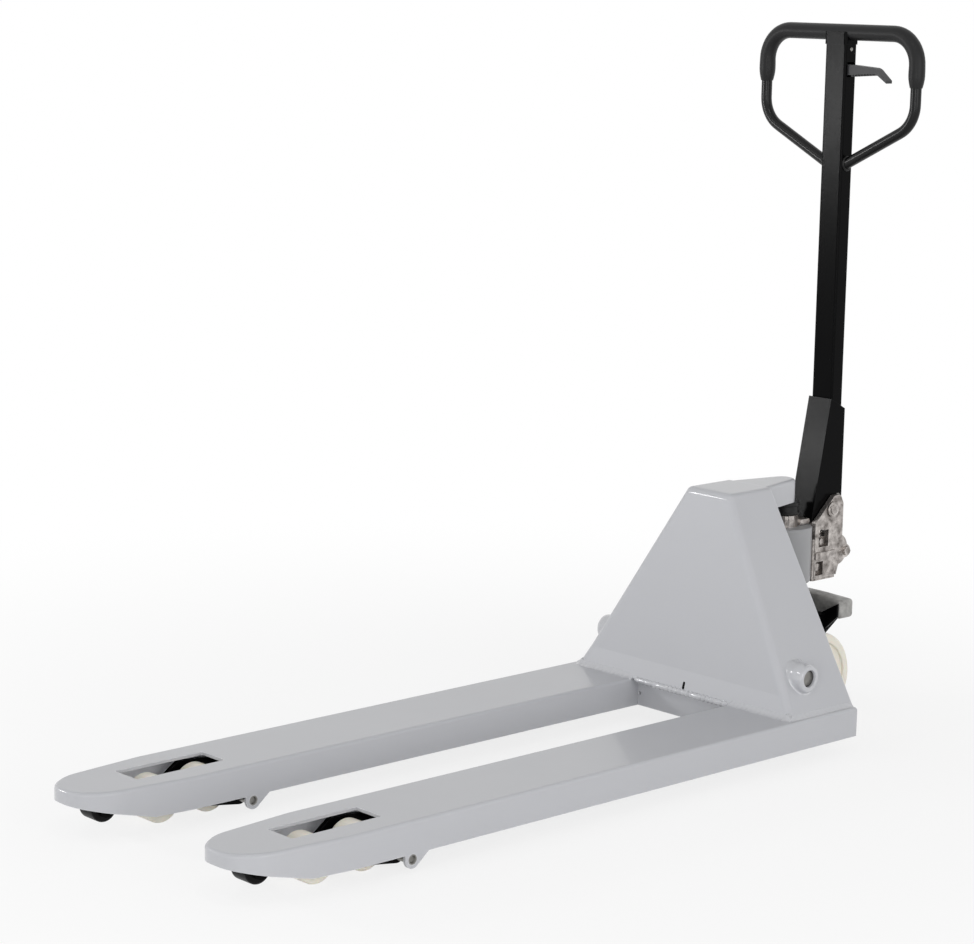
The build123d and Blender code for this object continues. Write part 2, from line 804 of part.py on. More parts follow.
# Pump cylinder, the column that the ram slides in
with BuildPart() as pump_cylinder:
    with BuildSketch(level(cylinder_bottom)):
        with Locations((steer_x, 0)):
            Circle(cylinder_diameter / 2)
    extrude(amount=reservoir_top - cylinder_bottom)
    with BuildSketch(level(cylinder_bottom + cylinder_floor)):
        with Locations((steer_x, 0)):
            Circle(ram_diameter / 2 + running_gap)
    extrude(amount=reservoir_top - cylinder_bottom - cylinder_floor, mode=Mode.SUBTRACT)
write(pump_cylinder, "pump_cylinder")

# Oil reservoir around the cylinder
with BuildPart() as pump_reservoir:
    with BuildSketch(level(reservoir_bottom)):
        with Locations((steer_x, 0)):
            Circle(reservoir_diameter / 2)
    extrude(amount=reservoir_top - reservoir_bottom)
    fillet(pump_reservoir.edges().filter_by(GeomType.CIRCLE), reservoir_edge_radius)
    with BuildSketch(level(reservoir_bottom)):
        with Locations((steer_x, 0)):
            Circle(cylinder_diameter / 2 + seat_gap)
    extrude(amount=reservoir_top - reservoir_bottom, mode=Mode.SUBTRACT)
write(pump_reservoir, "pump_reservoir")

# Gland nut that closes the cylinder around the ram
with BuildPart() as gland_nut:
    with BuildSketch(level(reservoir_top)):
        with Locations((steer_x, 0)):
            Circle(gland_diameter / 2)
    extrude(amount=gland_height)
    chamfer(gland_nut.faces().sort_by(Axis.Z)[-1].edges(), gland_chamfer)
    with BuildSketch(level(reservoir_top)):
        with Locations((steer_x, 0)):
            Circle(ram_diameter / 2 + running_gap)
    extrude(amount=gland_height, mode=Mode.SUBTRACT)
write(gland_nut, "gland_nut")

# Pump head casting: block, plunger barrel, tiller ears and valve bosses
release_x = steer_x + release_from_axis
release_height = head_casting_top + release_seat_rise
ear_window_mid_x = steer_x + ear_window_front + ear_window_length / 2
ear_pocket_mid_x = steer_x + ear_pocket_front + ear_pocket_length / 2
head_casting_rear_x = steer_x + head_casting_front + head_casting_length
release_cheek_mid = release_width / 2 + side_gap + release_cheek / 2
with BuildPart() as pump_head:
    with BuildSketch(level(head_casting_bottom)):
        with Locations((steer_x + head_casting_front + head_casting_length / 2, 0)):
            RectangleRounded(head_casting_length, 2 * head_casting_half, head_casting_radius)
    extrude(amount=head_casting_top - head_casting_bottom)
    with BuildSketch(level(head_casting_bottom)):
        with Locations((steer_x + (head_neck_front + head_casting_front + head_casting_radius) / 2, 0)):
            Rectangle(head_casting_front + head_casting_radius - head_neck_front, 2 * head_neck_half)
    extrude(amount=head_casting_top - head_casting_bottom)
    with BuildSketch(level(head_casting_bottom)):
        with Locations((plunger_x, 0)):
            Circle(barrel_diameter / 2)
    extrude(amount=barrel_top - head_casting_bottom)
    for end in (-1, 1):
        with BuildSketch(side_plane(end * (ear_inner + ear_outer) / 2)) as ear:
            with BuildLine():
                Polyline(
                    (steer_x + ear_front, head_casting_bottom + head_casting_radius),
                    (steer_x + ear_front, ear_front_height),
                    (steer_x + ear_peak_front, ear_peak_height),
                    (steer_x + ear_peak_rear, ear_peak_height),
                    (steer_x + ear_rear, ear_rear_height),
                    (steer_x + ear_rear, valve_boss_height),
                    (head_casting_rear_x, head_casting_bottom + head_casting_radius),
                    close=True,
                )
            make_face()
            fillet(ear.vertices().sort_by(Axis.Y)[-3:], ear_corner_radius)
            with Locations((steer_x + ear_lobe_back, ear_lobe_height)):
                Circle(ear_lobe_diameter / 2)
        extrude(amount=(ear_outer - ear_inner) / 2, both=True)
        with BuildSketch(side_plane(end * (valve_boss_inner + valve_boss_outer) / 2)):
            with Locations((valve_x, valve_boss_height)):
                Circle(valve_boss_diameter / 2)
        extrude(amount=(valve_boss_outer - valve_boss_inner) / 2, both=True)
        with BuildSketch(side_plane(end * release_cheek_mid)):
            with Locations((release_x, release_height)):
                Circle(release_hub_diameter / 2)
            with Locations((release_x, (release_height + head_casting_top) / 2)):
                Rectangle(release_hub_diameter, release_height - head_casting_top)
        extrude(amount=release_cheek / 2, both=True)
    with BuildSketch(side_plane(0)):
        with Locations((pivot_x, tiller_pivot_height)):
            Circle(pivot_pin_diameter / 2 + seat_gap)
        with Locations((release_x, release_height)):
            Circle(release_trunnion_diameter / 2 + running_gap)
    extrude(amount=fork_half, both=True, mode=Mode.SUBTRACT)
    for end in (-1, 1):
        with BuildSketch(side_plane(end * (ear_inner + ear_outer) / 2)):
            with Locations((ear_window_mid_x, ear_window_bottom + ear_window_height / 2)):
                Rectangle(ear_window_length, ear_window_height)
        extrude(amount=ear_outer - ear_inner, both=True, mode=Mode.SUBTRACT)
        with BuildSketch(side_plane(end * ear_outer)):
            with Locations((ear_pocket_mid_x, ear_pocket_bottom + ear_pocket_height / 2)):
                Rectangle(ear_pocket_length, ear_pocket_height)
        extrude(amount=ear_pocket_depth, both=True, mode=Mode.SUBTRACT)
    with BuildSketch(level(plunger_bore_bottom)):
        with Locations((plunger_x, 0)):
            Circle(plunger_diameter / 2 + running_gap)
    extrude(amount=barrel_top - plunger_bore_bottom, mode=Mode.SUBTRACT)
    with BuildSketch(level(head_casting_bottom)):
        with Locations((steer_x, 0)):
            Circle(reservoir_diameter / 2 + seat_gap)
    extrude(amount=ear_peak_height - head_casting_bottom, mode=Mode.SUBTRACT)
write(pump_head, "pump_head")

# Screw plugs on the valve bosses
with BuildPart() as valve_plugs:
    for end in (-1, 1):
        with BuildSketch(side_plane(end * (valve_boss_outer + valve_plug_height / 2))):
            with Locations((valve_x, valve_boss_height)):
                RegularPolygon(valve_plug_diameter / 2, 6)
        extrude(amount=valve_plug_height / 2, both=True)
write(valve_plugs, "valve_plugs")

# Pin of the tiller pivot
with BuildPart() as tiller_pivot_pin:
    with BuildSketch(side_plane(0)):
        with Locations((pivot_x, tiller_pivot_height)):
            Circle(pivot_pin_diameter / 2)
    extrude(amount=ear_outer + side_gap, both=True)
write(tiller_pivot_pin, "tiller_pivot_pin")

# Hollow plunger under the pump roller
roller_rest_z = tiller_pivot_height + pump_roller_rise
plunger_top = roller_rest_z - pump_roller_diameter / 2 - plunger_gap
with BuildPart() as plunger:
    with BuildSketch(level(plunger_bottom)):
        with Locations((plunger_x, 0)):
            Circle(plunger_diameter / 2)
    extrude(amount=plunger_top - plunger_bottom)
    with BuildSketch(level(plunger_bottom)):
        with Locations((plunger_x, 0)):
            Circle(plunger_diameter / 2 - plunger_wall)
    extrude(amount=plunger_top - plunger_bottom - plunger_crown, mode=Mode.SUBTRACT)
write(plunger, "plunger")

# Return spring inside the plunger
spring_bottom = plunger_bore_bottom + spring_wire / 2
spring_height = plunger_top - plunger_crown - plunger_bore_bottom - spring_wire - 2 * seat_gap
spring_radius = plunger_diameter / 2 - plunger_wall - spring_side_gap - spring_wire / 2
spring_pitch = spring_height / spring_turns
with BuildPart() as plunger_spring:
    with BuildLine(Plane(origin=(plunger_x, 0, spring_bottom + seat_gap))):
        coil = Helix(pitch=spring_pitch, height=spring_height, radius=spring_radius)
    with BuildSketch(Plane(origin=coil @ 0, z_dir=coil % 0)):
        Circle(spring_wire / 2)
    sweep(path=coil, is_frenet=True)
write(plunger_spring, "plunger_spring")
print("spring self gap", round(spring_pitch - spring_wire, 3))

# Release lever on its own trunnions
with BuildPart() as release_lever:
    with BuildSketch(side_plane(0)):
        with Locations((release_x, release_height)):
            Circle(release_hub_diameter / 2)
        with Locations((release_x + release_reach, release_height + release_rise)):
            Circle(release_tip_diameter / 2)
        make_hull()
    extrude(amount=release_width / 2, both=True)
    with BuildSketch(side_plane(0)):
        with Locations((release_x, release_height)):
            Circle(release_trunnion_diameter / 2)
    extrude(amount=release_cheek_mid + release_cheek / 2, both=True)
write(release_lever, "release_lever")

# Steer yoke: hub block between the wheels with a deck above them
wheel_outer = wheel_inner + wheel_width
with BuildPart() as steer_yoke:
    with BuildSketch(level(wheel_radius - yoke_below_axle)):
        with Locations((steer_x, 0)):
            RectangleRounded(yoke_length, 2 * yoke_half_width, yoke_corner_radius)
    extrude(amount=yoke_deck_top - wheel_radius + yoke_below_axle)
    with BuildSketch(side_plane(0)):
        with BuildLine():
            Polyline(
                (steer_x - yoke_deck_front, yoke_deck_low),
                (steer_x - yoke_deck_front, yoke_deck_top),
                (steer_x + yoke_deck_rear, yoke_deck_top),
                (steer_x + yoke_deck_rear, yoke_deck_top - yoke_deck_rear_height),
                (steer_x + yoke_deck_low_front, yoke_deck_low),
                close=True,
            )
        make_face()
    extrude(amount=yoke_deck_half, both=True)
    for end in (-1, 1):
        with BuildSketch(side_plane(end * (yoke_half_width + yoke_deck_half) / 2)):
            with Locations((steer_x, wheel_radius)):
                Circle(wheel_radius + yoke_wheel_gap)
        extrude(amount=(yoke_deck_half - yoke_half_width) / 2, both=True, mode=Mode.SUBTRACT)
        with BuildSketch(side_plane(end * (yoke_half_width + wheel_inner - axle_side_play) / 2)):
            with Locations((steer_x, wheel_radius)):
                Circle(axle_boss_diameter / 2)
        extrude(amount=(wheel_inner - axle_side_play - yoke_half_width) / 2, both=True)
    with BuildSketch(level(yoke_deck_top)):
        with Locations((steer_x, 0)):
            Circle(yoke_hub_diameter / 2)
    extrude(amount=yoke_hub_top - yoke_deck_top)
    with BuildSketch(level(cylinder_bottom)):
        with Locations((steer_x, 0)):
            Circle(cylinder_diameter / 2 + seat_gap)
    extrude(amount=yoke_hub_top - cylinder_bottom, mode=Mode.SUBTRACT)
    with BuildSketch(side_plane(0)):
        with Locations((steer_x, wheel_radius)):
            Circle(steer_axle_diameter / 2 + seat_gap)
    extrude(amount=wheel_outer, both=True, mode=Mode.SUBTRACT)
write(steer_yoke, "steer_yoke")

# Cast guard bar on the deck, with a pad at each end
guard_pad_inner = guard_half_width - guard_pad_width
guard_screw_x = guard_x + (yoke_deck_rear - guard_setback) / 2
guard_screw_spots = ((guard_screw_x, -guard_screw_spread / 2), (guard_screw_x, guard_screw_spread / 2))
guard_screw_seat = guard_end_height - guard_screw_head
with BuildPart() as rear_guard:
    with BuildSketch(cross_plane(guard_x)):
        with BuildLine():
            Polyline(
                (-guard_half_width, guard_pad_bottom),
                (-guard_half_width, guard_end_height),
                (-guard_mid_half, guard_mid_height),
                (guard_mid_half, guard_mid_height),
                (guard_half_width, guard_end_height),
                (guard_half_width, guard_pad_bottom),
                (guard_pad_inner, guard_pad_bottom),
                (guard_pad_inner, yoke_deck_top),
                (-guard_pad_inner, yoke_deck_top),
                (-guard_pad_inner, guard_pad_bottom),
                close=True,
            )
        make_face()
    extrude(amount=guard_depth)
    end_faces = rear_guard.faces().filter_by(lambda f: abs(f.center().Y) > guard_half_width - seat_gap)
    fillet(end_faces.edges(), guard_edge_radius)
    with BuildSketch(level(yoke_deck_top)):
        with Locations(*guard_screw_spots):
            Circle(guard_screw_diameter / 2 + seat_gap)
    extrude(amount=guard_screw_seat - yoke_deck_top, mode=Mode.SUBTRACT)
    with BuildSketch(level(guard_screw_seat)):
        with Locations(*guard_screw_spots):
            Circle(guard_screw_head_diameter / 2 + guard_screw_room)
    extrude(amount=guard_mid_height - guard_screw_seat, mode=Mode.SUBTRACT)
write(rear_guard, "rear_guard")

# Screws that hold the guard to the deck, with their heads sunk in it
with BuildPart() as guard_screws:
    with BuildSketch(level(yoke_deck_top)):
        with Locations(*guard_screw_spots):
            Circle(guard_screw_diameter / 2)
    extrude(amount=guard_screw_seat - yoke_deck_top)
    with BuildSketch(level(guard_screw_seat)):
        with Locations(*guard_screw_spots):
            Circle(guard_screw_head_diameter / 2)
    extrude(amount=guard_screw_head)
write(guard_screws, "guard_screws")

# Axle of the steer wheels and the clips on its ends
with BuildPart() as steer_axle:
    with BuildSketch(side_plane(0)):
        with Locations((steer_x, wheel_radius)):
            Circle(steer_axle_diameter / 2)
    extrude(amount=wheel_outer - wheel_recess + axle_stub, both=True)
write(steer_axle, "steer_axle")

clip_inner = wheel_outer - wheel_recess + axle_side_play
with BuildPart() as axle_clips:
    for end in (-1, 1):
        with BuildSketch(side_plane(end * (clip_inner + axle_clip_width / 2))):
            with Locations((steer_x, wheel_radius)):
                Circle(axle_clip_diameter / 2)
                Circle(steer_axle_diameter / 2 + seat_gap, mode=Mode.SUBTRACT)
        extrude(amount=axle_clip_width / 2, both=True)
write(axle_clips, "axle_clips")

# Steer wheels with recessed faces around the hub, and the bearings pressed into them
for side_name, side in sides:
    wheel_mid = side * (wheel_inner + wheel_width / 2)
    with BuildPart() as steer_wheel:
        with BuildSketch(side_plane(wheel_mid)):
            with Locations((steer_x, wheel_radius)):
                Circle(wheel_radius)
        extrude(amount=wheel_width / 2, both=True)
        fillet(steer_wheel.edges().filter_by(GeomType.CIRCLE), wheel_edge_radius)
        for face_side in (-1, 1):
            with BuildSketch(side_plane(wheel_mid + face_side * (wheel_width / 2 - wheel_recess / 2))):
                with Locations((steer_x, wheel_radius)):
                    Circle(wheel_radius - wheel_rim)
                    Circle(wheel_hub_diameter / 2, mode=Mode.SUBTRACT)
                    Circle(bearing_diameter / 2 + seat_gap)
            extrude(amount=wheel_recess / 2, both=True, mode=Mode.SUBTRACT)
        with BuildSketch(side_plane(wheel_mid)):
            with Locations((steer_x, wheel_radius)):
                Circle(steer_axle_diameter / 2 + side_gap)
        extrude(amount=wheel_width / 2, both=True, mode=Mode.SUBTRACT)
        for face_side in (-1, 1):
            seat_mid = wheel_width / 2 - wheel_recess - bearing_width / 2
            with BuildSketch(side_plane(wheel_mid + face_side * seat_mid)):
                with Locations((steer_x, wheel_radius)):
                    Circle(bearing_diameter / 2 + seat_gap)
            extrude(amount=bearing_width / 2, both=True, mode=Mode.SUBTRACT)
    write(steer_wheel, f"{side_name}_steer_wheel")

    with BuildPart() as wheel_bearings:
        for face_side in (-1, 1):
            seat_mid = wheel_width / 2 - wheel_recess - bearing_width / 2
            with BuildSketch(side_plane(wheel_mid + face_side * seat_mid)):
                with Locations((steer_x, wheel_radius)):
                    Circle(bearing_diameter / 2)
                    Circle(steer_axle_diameter / 2 + running_gap, mode=Mode.SUBTRACT)
            extrude(amount=bearing_width / 2, both=True)
    write(wheel_bearings, f"{side_name}_wheel_bearings")

# Thrust bearing on the yoke's hub and the collar that stands on it, linked to the rocker
collar_bottom = yoke_hub_top + thrust_height
with BuildPart() as thrust_bearing:
    with BuildSketch(level(yoke_hub_top)):
        with Locations((steer_x, 0)):
            Circle(collar_diameter / 2)
            Circle(cylinder_diameter / 2 + running_gap, mode=Mode.SUBTRACT)
    extrude(amount=thrust_height)
write(thrust_bearing, "thrust_bearing")

collar_slot_half = rocker_pin_diameter / 2 + collar_slot_gap
collar_ear_half = collar_slot_half + collar_ear_wall
collar_ear_front = collar_pin_x - collar_ear_half
with BuildPart() as thrust_collar:
    with BuildSketch(level(collar_bottom)):
        with Locations((steer_x, 0)):
            Circle(collar_diameter / 2)
    extrude(amount=collar_height)
    for end in (-1, 1):
        with BuildSketch(side_plane(end * (collar_ear_inner + collar_ear_outer) / 2)):
            with Locations(((collar_ear_front + steer_x - collar_ear_lap) / 2, collar_pin_height)):
                Rectangle(steer_x - collar_ear_lap - collar_ear_front, 2 * collar_ear_half)
            with Locations((collar_pin_x + collar_slot_run / 2, collar_pin_height)):
                SlotCenterToCenter(collar_slot_run, 2 * collar_slot_half, mode=Mode.SUBTRACT)
        extrude(amount=(collar_ear_outer - collar_ear_inner) / 2, both=True)
    with BuildSketch(level(collar_bottom)):
        with Locations((steer_x, 0)):
            Circle(cylinder_diameter / 2 + running_gap)
    extrude(amount=2 * collar_ear_half + collar_height, mode=Mode.SUBTRACT)
write(thrust_collar, "thrust_collar")

# Rocker: cross shaft with two arms to the collar and one arm down into each fork
link_arm_mid = collar_ear_outer + side_gap + rocker_arm_plate / 2
push_arm_mid = fork_y - arm_offset - rocker_arm_plate / 2
with BuildPart() as rocker_shaft:
    with BuildSketch(side_plane(0)):
        with Locations((rocker_x, rocker_height)):
            Circle(rocker_diameter / 2)
    extrude(amount=rocker_half, both=True)
    with BuildSketch(side_plane(0)):
        with Locations((rocker_x, rocker_height)):
            Circle(rocker_journal_diameter / 2)
    extrude(amount=rocker_boss_outer - rocker_journal_recess, both=True)
    for end in (-1, 1):
        with BuildSketch(side_plane(end * link_arm_mid)):
            with Locations((rocker_x, rocker_height)):
                Circle(rocker_hub_radius)
            with Locations((collar_pin_x, collar_pin_height)):
                Circle(rocker_arm_end_radius)
            make_hull()
            with Locations((collar_pin_x, collar_pin_height)):
                Circle(rocker_pin_diameter / 2 + seat_gap, mode=Mode.SUBTRACT)
        extrude(amount=rocker_arm_plate / 2, both=True)
        with BuildSketch(side_plane(end * push_arm_mid)):
            with Locations((rocker_x, rocker_height)):
                Circle(rocker_hub_radius)
            with Locations((rod_pin_x, rod_pin_z)):
                Circle(push_arm_end_radius)
            make_hull()
            with Locations((rod_pin_x, rod_pin_z)):
                Circle(rocker_pin_diameter / 2 + seat_gap, mode=Mode.SUBTRACT)
        extrude(amount=rocker_arm_plate / 2, both=True)
write(rocker_shaft, "rocker_shaft")

rod_pin_inner = push_arm_mid - rocker_arm_plate / 2
rod_pin_outer = fork_y + rod_plate / 2 + side_gap
with BuildPart() as rocker_pins:
    with BuildSketch(side_plane(0)):
        with Locations((collar_pin_x, collar_pin_height)):
            Circle(rocker_pin_diameter / 2)
    extrude(amount=link_arm_mid + rocker_arm_plate / 2, both=True)
    for end in (-1, 1):
        with BuildSketch(side_plane(end * (rod_pin_inner + rod_pin_outer) / 2)):
            with Locations((rod_pin_x, rod_pin_z)):
                Circle(rocker_pin_diameter / 2)
        extrude(amount=(rod_pin_outer - rod_pin_inner) / 2, both=True)
write(rocker_pins, "rocker_pins")

# Tiller base: a folded channel, open behind, with the pivot bush across it
base_inside_half = tube_width / 2 + seat_gap
base_half = base_inside_half + base_plate
base_front_lean = (base_front_bottom - base_front_top) / (base_front_height - base_bottom)
base_fold = base_plate * math.hypot(1, base_front_lean)
roller_pin_x = pivot_x + pump_roller_run
with BuildPart() as tiller_base:
    with BuildSketch(side_plane(0)):
        with BuildLine():
            Polyline(
                (pivot_x - base_front_bottom, base_bottom),
                (pivot_x - base_front_top, base_front_height),
                (pivot_x + base_rear, base_rear_height),
                (pivot_x + base_rear, base_bottom),
                close=True,
            )
        make_face()
    extrude(amount=base_half, both=True)
    with BuildSketch(side_plane(0)):
        with BuildLine():
            Polyline(
                (pivot_x - base_front_bottom + base_fold, base_bottom),
                (pivot_x - base_front_top + base_fold, base_front_height),
                (pivot_x + base_rear, base_front_height),
                (pivot_x + base_rear, base_bottom),
                close=True,
            )
        make_face()
    extrude(amount=base_inside_half, both=True, mode=Mode.SUBTRACT)
    with BuildSketch(side_plane(0)):
        with Locations((pivot_x, tiller_pivot_height)):
            Circle(pivot_bush_diameter / 2)
    extrude(amount=base_inside_half, both=True)
    with BuildSketch(side_plane(0)):
        with Locations((pivot_x, tiller_pivot_height)):
            Circle(pivot_pin_diameter / 2 + running_gap)
        with Locations((roller_pin_x, roller_rest_z)):
            Circle(pump_roller_pin_diameter / 2 + seat_gap)
    extrude(amount=base_half, both=True, mode=Mode.SUBTRACT)
write(tiller_base, "tiller_base")

# Pump roller and its pin
with BuildPart() as roller_pin:
    with BuildSketch(side_plane(0)):
        with Locations((roller_pin_x, roller_rest_z)):
            Circle(pump_roller_pin_diameter / 2)
    extrude(amount=base_half, both=True)
write(roller_pin, "roller_pin")

with BuildPart() as pump_roller:
    with BuildSketch(side_plane(0)):
        with Locations((roller_pin_x, roller_rest_z)):
            Circle(pump_roller_diameter / 2)
            Circle(pump_roller_pin_diameter / 2 + running_gap, mode=Mode.SUBTRACT)
    extrude(amount=pump_roller_width / 2, both=True)
write(pump_roller, "pump_roller")

# Tiller tube with the slot for the control lever
lever_hole_half = lever_root_half + lever_slot_gap
with BuildPart() as tiller_tube:
    with BuildSketch(level(tube_bottom)):
        with Locations((tube_x, 0)):
            RectangleRounded(tube_depth, tube_width, tube_corner_radius)
            Rectangle(tube_depth - 2 * tube_wall, tube_width - 2 * tube_wall, mode=Mode.SUBTRACT)
    extrude(amount=tube_top - tube_bottom)
    with BuildSketch(side_plane(-tube_width / 2)):
        with Locations((tube_x, lever_height)):
            Rectangle(lever_thickness + 2 * side_gap, 2 * lever_hole_half)
    extrude(amount=2 * tube_wall, both=True, mode=Mode.SUBTRACT)
    with BuildSketch(cross_plane(tube_x)):
        with Locations((lever_pivot_y, lever_height)):
            Circle(lever_pin_diameter / 2 + seat_gap)
    extrude(amount=tube_depth, both=True, mode=Mode.SUBTRACT)
write(tiller_tube, "tiller_tube")

# Handle loop: one bent tube, its ends against the sides of the tiller tube
loop_root = tube_width / 4
loop_points = [
    (loop_root, loop_joint_height),
    (loop_half, loop_bend_height),
    (loop_half, bar_height),
    (-loop_half, bar_height),
    (-loop_half, loop_bend_height),
    (-loop_root, loop_joint_height),
]
loop_radii = [loop_bend_radius, loop_corner_radius, loop_corner_radius, loop_bend_radius]
with BuildPart() as handle_loop:
    with BuildLine(cross_plane(tube_x)):
        loop_path = FilletPolyline(*loop_points, radius=loop_radii)
    with BuildSketch(Plane(origin=loop_path @ 0, z_dir=loop_path % 0)):
        Circle(bar_diameter / 2)
        Circle(bar_diameter / 2 - bar_wall, mode=Mode.SUBTRACT)
    sweep(path=loop_path)
    with BuildSketch(level(loop_joint_height - bar_diameter)):
        with Locations((tube_x, 0)):
            Rectangle(2 * bar_diameter, tube_width)
    extrude(amount=tube_top - loop_joint_height, mode=Mode.SUBTRACT)
write(handle_loop, "handle_loop")

# Saddle under the grips, on top of the tube
with BuildPart() as handle_cap:
    with BuildSketch(level(tube_top)):
        with Locations((tube_x, 0)):
            RectangleRounded(cap_depth, cap_width, cap_radius)
    extrude(amount=cap_top - tube_top)
    with BuildSketch(side_plane(0)):
        with Locations((tube_x, bar_height)):
            Circle(grip_diameter / 2 + seat_gap)
    extrude(amount=cap_width, both=True, mode=Mode.SUBTRACT)
write(handle_cap, "handle_cap")

# Rubber grips over the bar's halves, the corners and the tops of the legs
for side_name, side in sides:
    with BuildPart() as grip:
        with BuildLine(cross_plane(tube_x)):
            grip_path = FilletPolyline(
                (side * seat_gap, bar_height),
                (side * loop_half, bar_height),
                (side * loop_half, grip_end_height + grip_taper),
                radius=loop_corner_radius,
            )
        with BuildSketch(Plane(origin=grip_path @ 0, z_dir=grip_path % 0)):
            Circle(grip_diameter / 2)
            Circle(bar_diameter / 2 + seat_gap, mode=Mode.SUBTRACT)
        sweep(path=grip_path)
        with BuildSketch(level(grip_end_height)):
            with Locations((tube_x, side * loop_half)):
                Circle(grip_tip_diameter / 2)
        with BuildSketch(level(grip_end_height + grip_taper)):
            with Locations((tube_x, side * loop_half)):
                Circle(grip_diameter / 2)
        loft()
        with BuildSketch(level(grip_end_height)):
            with Locations((tube_x, side * loop_half)):
                Circle(bar_diameter / 2 + seat_gap)
        extrude(amount=grip_taper, mode=Mode.SUBTRACT)
    write(grip, f"{side_name}_grip")

# Control lever beside the tube, with the pin that moves the rod
lever_root_y = -tube_width / 2 - side_gap
link_y = lever_pivot_y + lever_link
with BuildPart() as control_lever:
    with BuildSketch(cross_plane(tube_x)) as blade:
        with BuildLine():
            Polyline(
                (lever_pivot_y, lever_height + lever_root_half),
                (lever_root_y, lever_height + lever_root_half),
                (lever_pivot_y - lever_reach, lever_height + lever_end_half),
                (lever_pivot_y - lever_tip_reach, lever_height - lever_tip_drop + lever_tip_half),
                (lever_pivot_y - lever_tip_reach, lever_height - lever_tip_drop - lever_tip_half),
                (lever_pivot_y - lever_reach, lever_height - lever_end_half),
                (lever_root_y, lever_height - lever_root_half),
                (lever_pivot_y, lever_height - lever_root_half),
                close=True,
            )
        make_face()
        bends = [v for v in blade.vertices() if abs(v.X - lever_pivot_y + lever_reach) < seat_gap]
        fillet(bends, lever_bend_radius)
        with Locations((lever_pivot_y, lever_height)):
            Circle(lever_hub_radius)
    extrude(amount=lever_thickness / 2, both=True)
    with BuildSketch(cross_plane(tube_x)):
        with Locations((lever_pivot_y, lever_height)):
            Circle(lever_hub_radius / 2)
        with Locations((link_y, lever_height)):
            Circle(link_pin_diameter)
        make_hull()
    extrude(amount=lever_tongue / 2, both=True)
    with BuildSketch(cross_plane(tube_x)):
        with Locations((link_y, lever_height)):
            Circle(link_pin_diameter / 2)
    extrude(amount=clevis_width / 2, both=True)
    with BuildSketch(cross_plane(tube_x)):
        with Locations((lever_pivot_y, lever_height)):
            Circle(lever_pin_diameter / 2 + running_gap)
    extrude(amount=lever_thickness, both=True, mode=Mode.SUBTRACT)
write(control_lever, "control_lever")

with BuildPart() as lever_pin:
    with BuildSketch(cross_plane(tube_x)):
        with Locations((lever_pivot_y, lever_height)):
            Circle(lever_pin_diameter / 2)
    extrude(amount=tube_depth / 2, both=True)
write(lever_pin, "lever_pin")

# Control rod down the tube, with a clevis on the lever's pin
with BuildPart() as control_rod:
    with BuildSketch(level(control_rod_bottom)):
        with Locations((tube_x, link_y)):
            Circle(control_rod_diameter / 2)
    extrude(amount=lever_height - clevis_below - control_rod_bottom)
    with BuildSketch(level(lever_height - clevis_below)):
        with Locations((tube_x, link_y)):
            Rectangle(clevis_width, clevis_depth)
    extrude(amount=clevis_below + clevis_above)
    with BuildSketch(level(lever_height - clevis_below + clevis_root)):
        with Locations((tube_x, link_y)):
            Rectangle(lever_tongue + 2 * link_gap, clevis_depth)
    extrude(amount=clevis_below + clevis_above, mode=Mode.SUBTRACT)
    with BuildSketch(cross_plane(tube_x)):
        with Locations((link_y, lever_height)):
            Circle(link_pin_diameter / 2 + link_gap)
    extrude(amount=clevis_width, both=True, mode=Mode.SUBTRACT)
write(control_rod, "control_rod")
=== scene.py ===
"""Looks of a hand pallet truck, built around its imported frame: finishes, welds, castings, grips and studio."""

import json
import logging
import math
import random
from dataclasses import dataclass, field
from enum import Enum
from typing import Sequence, Union

import bmesh
import bpy
from mathutils import Matrix, Vector


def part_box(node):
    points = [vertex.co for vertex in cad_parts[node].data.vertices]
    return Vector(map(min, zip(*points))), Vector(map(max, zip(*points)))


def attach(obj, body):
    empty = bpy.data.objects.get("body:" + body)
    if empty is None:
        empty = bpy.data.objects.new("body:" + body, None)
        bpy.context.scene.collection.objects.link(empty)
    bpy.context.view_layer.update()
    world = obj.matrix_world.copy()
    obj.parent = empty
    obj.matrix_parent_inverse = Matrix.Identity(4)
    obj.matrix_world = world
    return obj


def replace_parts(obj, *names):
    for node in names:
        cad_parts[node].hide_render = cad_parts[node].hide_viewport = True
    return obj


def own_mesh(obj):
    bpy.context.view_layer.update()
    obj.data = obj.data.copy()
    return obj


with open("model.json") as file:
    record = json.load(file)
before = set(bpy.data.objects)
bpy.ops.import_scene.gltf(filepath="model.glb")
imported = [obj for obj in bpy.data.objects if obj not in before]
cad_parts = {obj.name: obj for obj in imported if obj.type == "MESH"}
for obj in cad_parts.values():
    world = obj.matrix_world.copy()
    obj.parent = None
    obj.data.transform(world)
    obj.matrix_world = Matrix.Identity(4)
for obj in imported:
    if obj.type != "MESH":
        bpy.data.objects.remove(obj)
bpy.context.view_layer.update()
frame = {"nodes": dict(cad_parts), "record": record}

log = logging.getLogger("pallet_truck")

X_AXIS = Vector((1.0, 0.0, 0.0))
Y_AXIS = Vector((0.0, 1.0, 0.0))
Z_AXIS = Vector((0.0, 0.0, 1.0))
SIDES = {"left": -1.0, "right": 1.0}
FULL_TURN = 2.0 * math.pi
SAME_PLACE = 1e-6
SAME_LEVEL = 1e-5
STEEP = math.radians(60)

Colour = tuple[float, float, float]
Profile = tuple[tuple[float, float], ...]
Feed = Union[bpy.types.NodeSocket, float, Colour]
Shape = bmesh.types.BMesh
Edges = list[bmesh.types.BMEdge]
Verts = list[bmesh.types.BMVert]
Faces = list[bpy.types.MeshPolygon]


def linear(red: int, green: int, blue: int) -> Colour:
    """Turn a screen colour, from 0 to 255 in each share, into the linear colour that a shader takes."""
    shares = (value / 255.0 for value in (red, green, blue))
    return tuple(s / 12.92 if s <= 0.04045 else ((s + 0.055) / 1.055) ** 2.4 for s in shares)


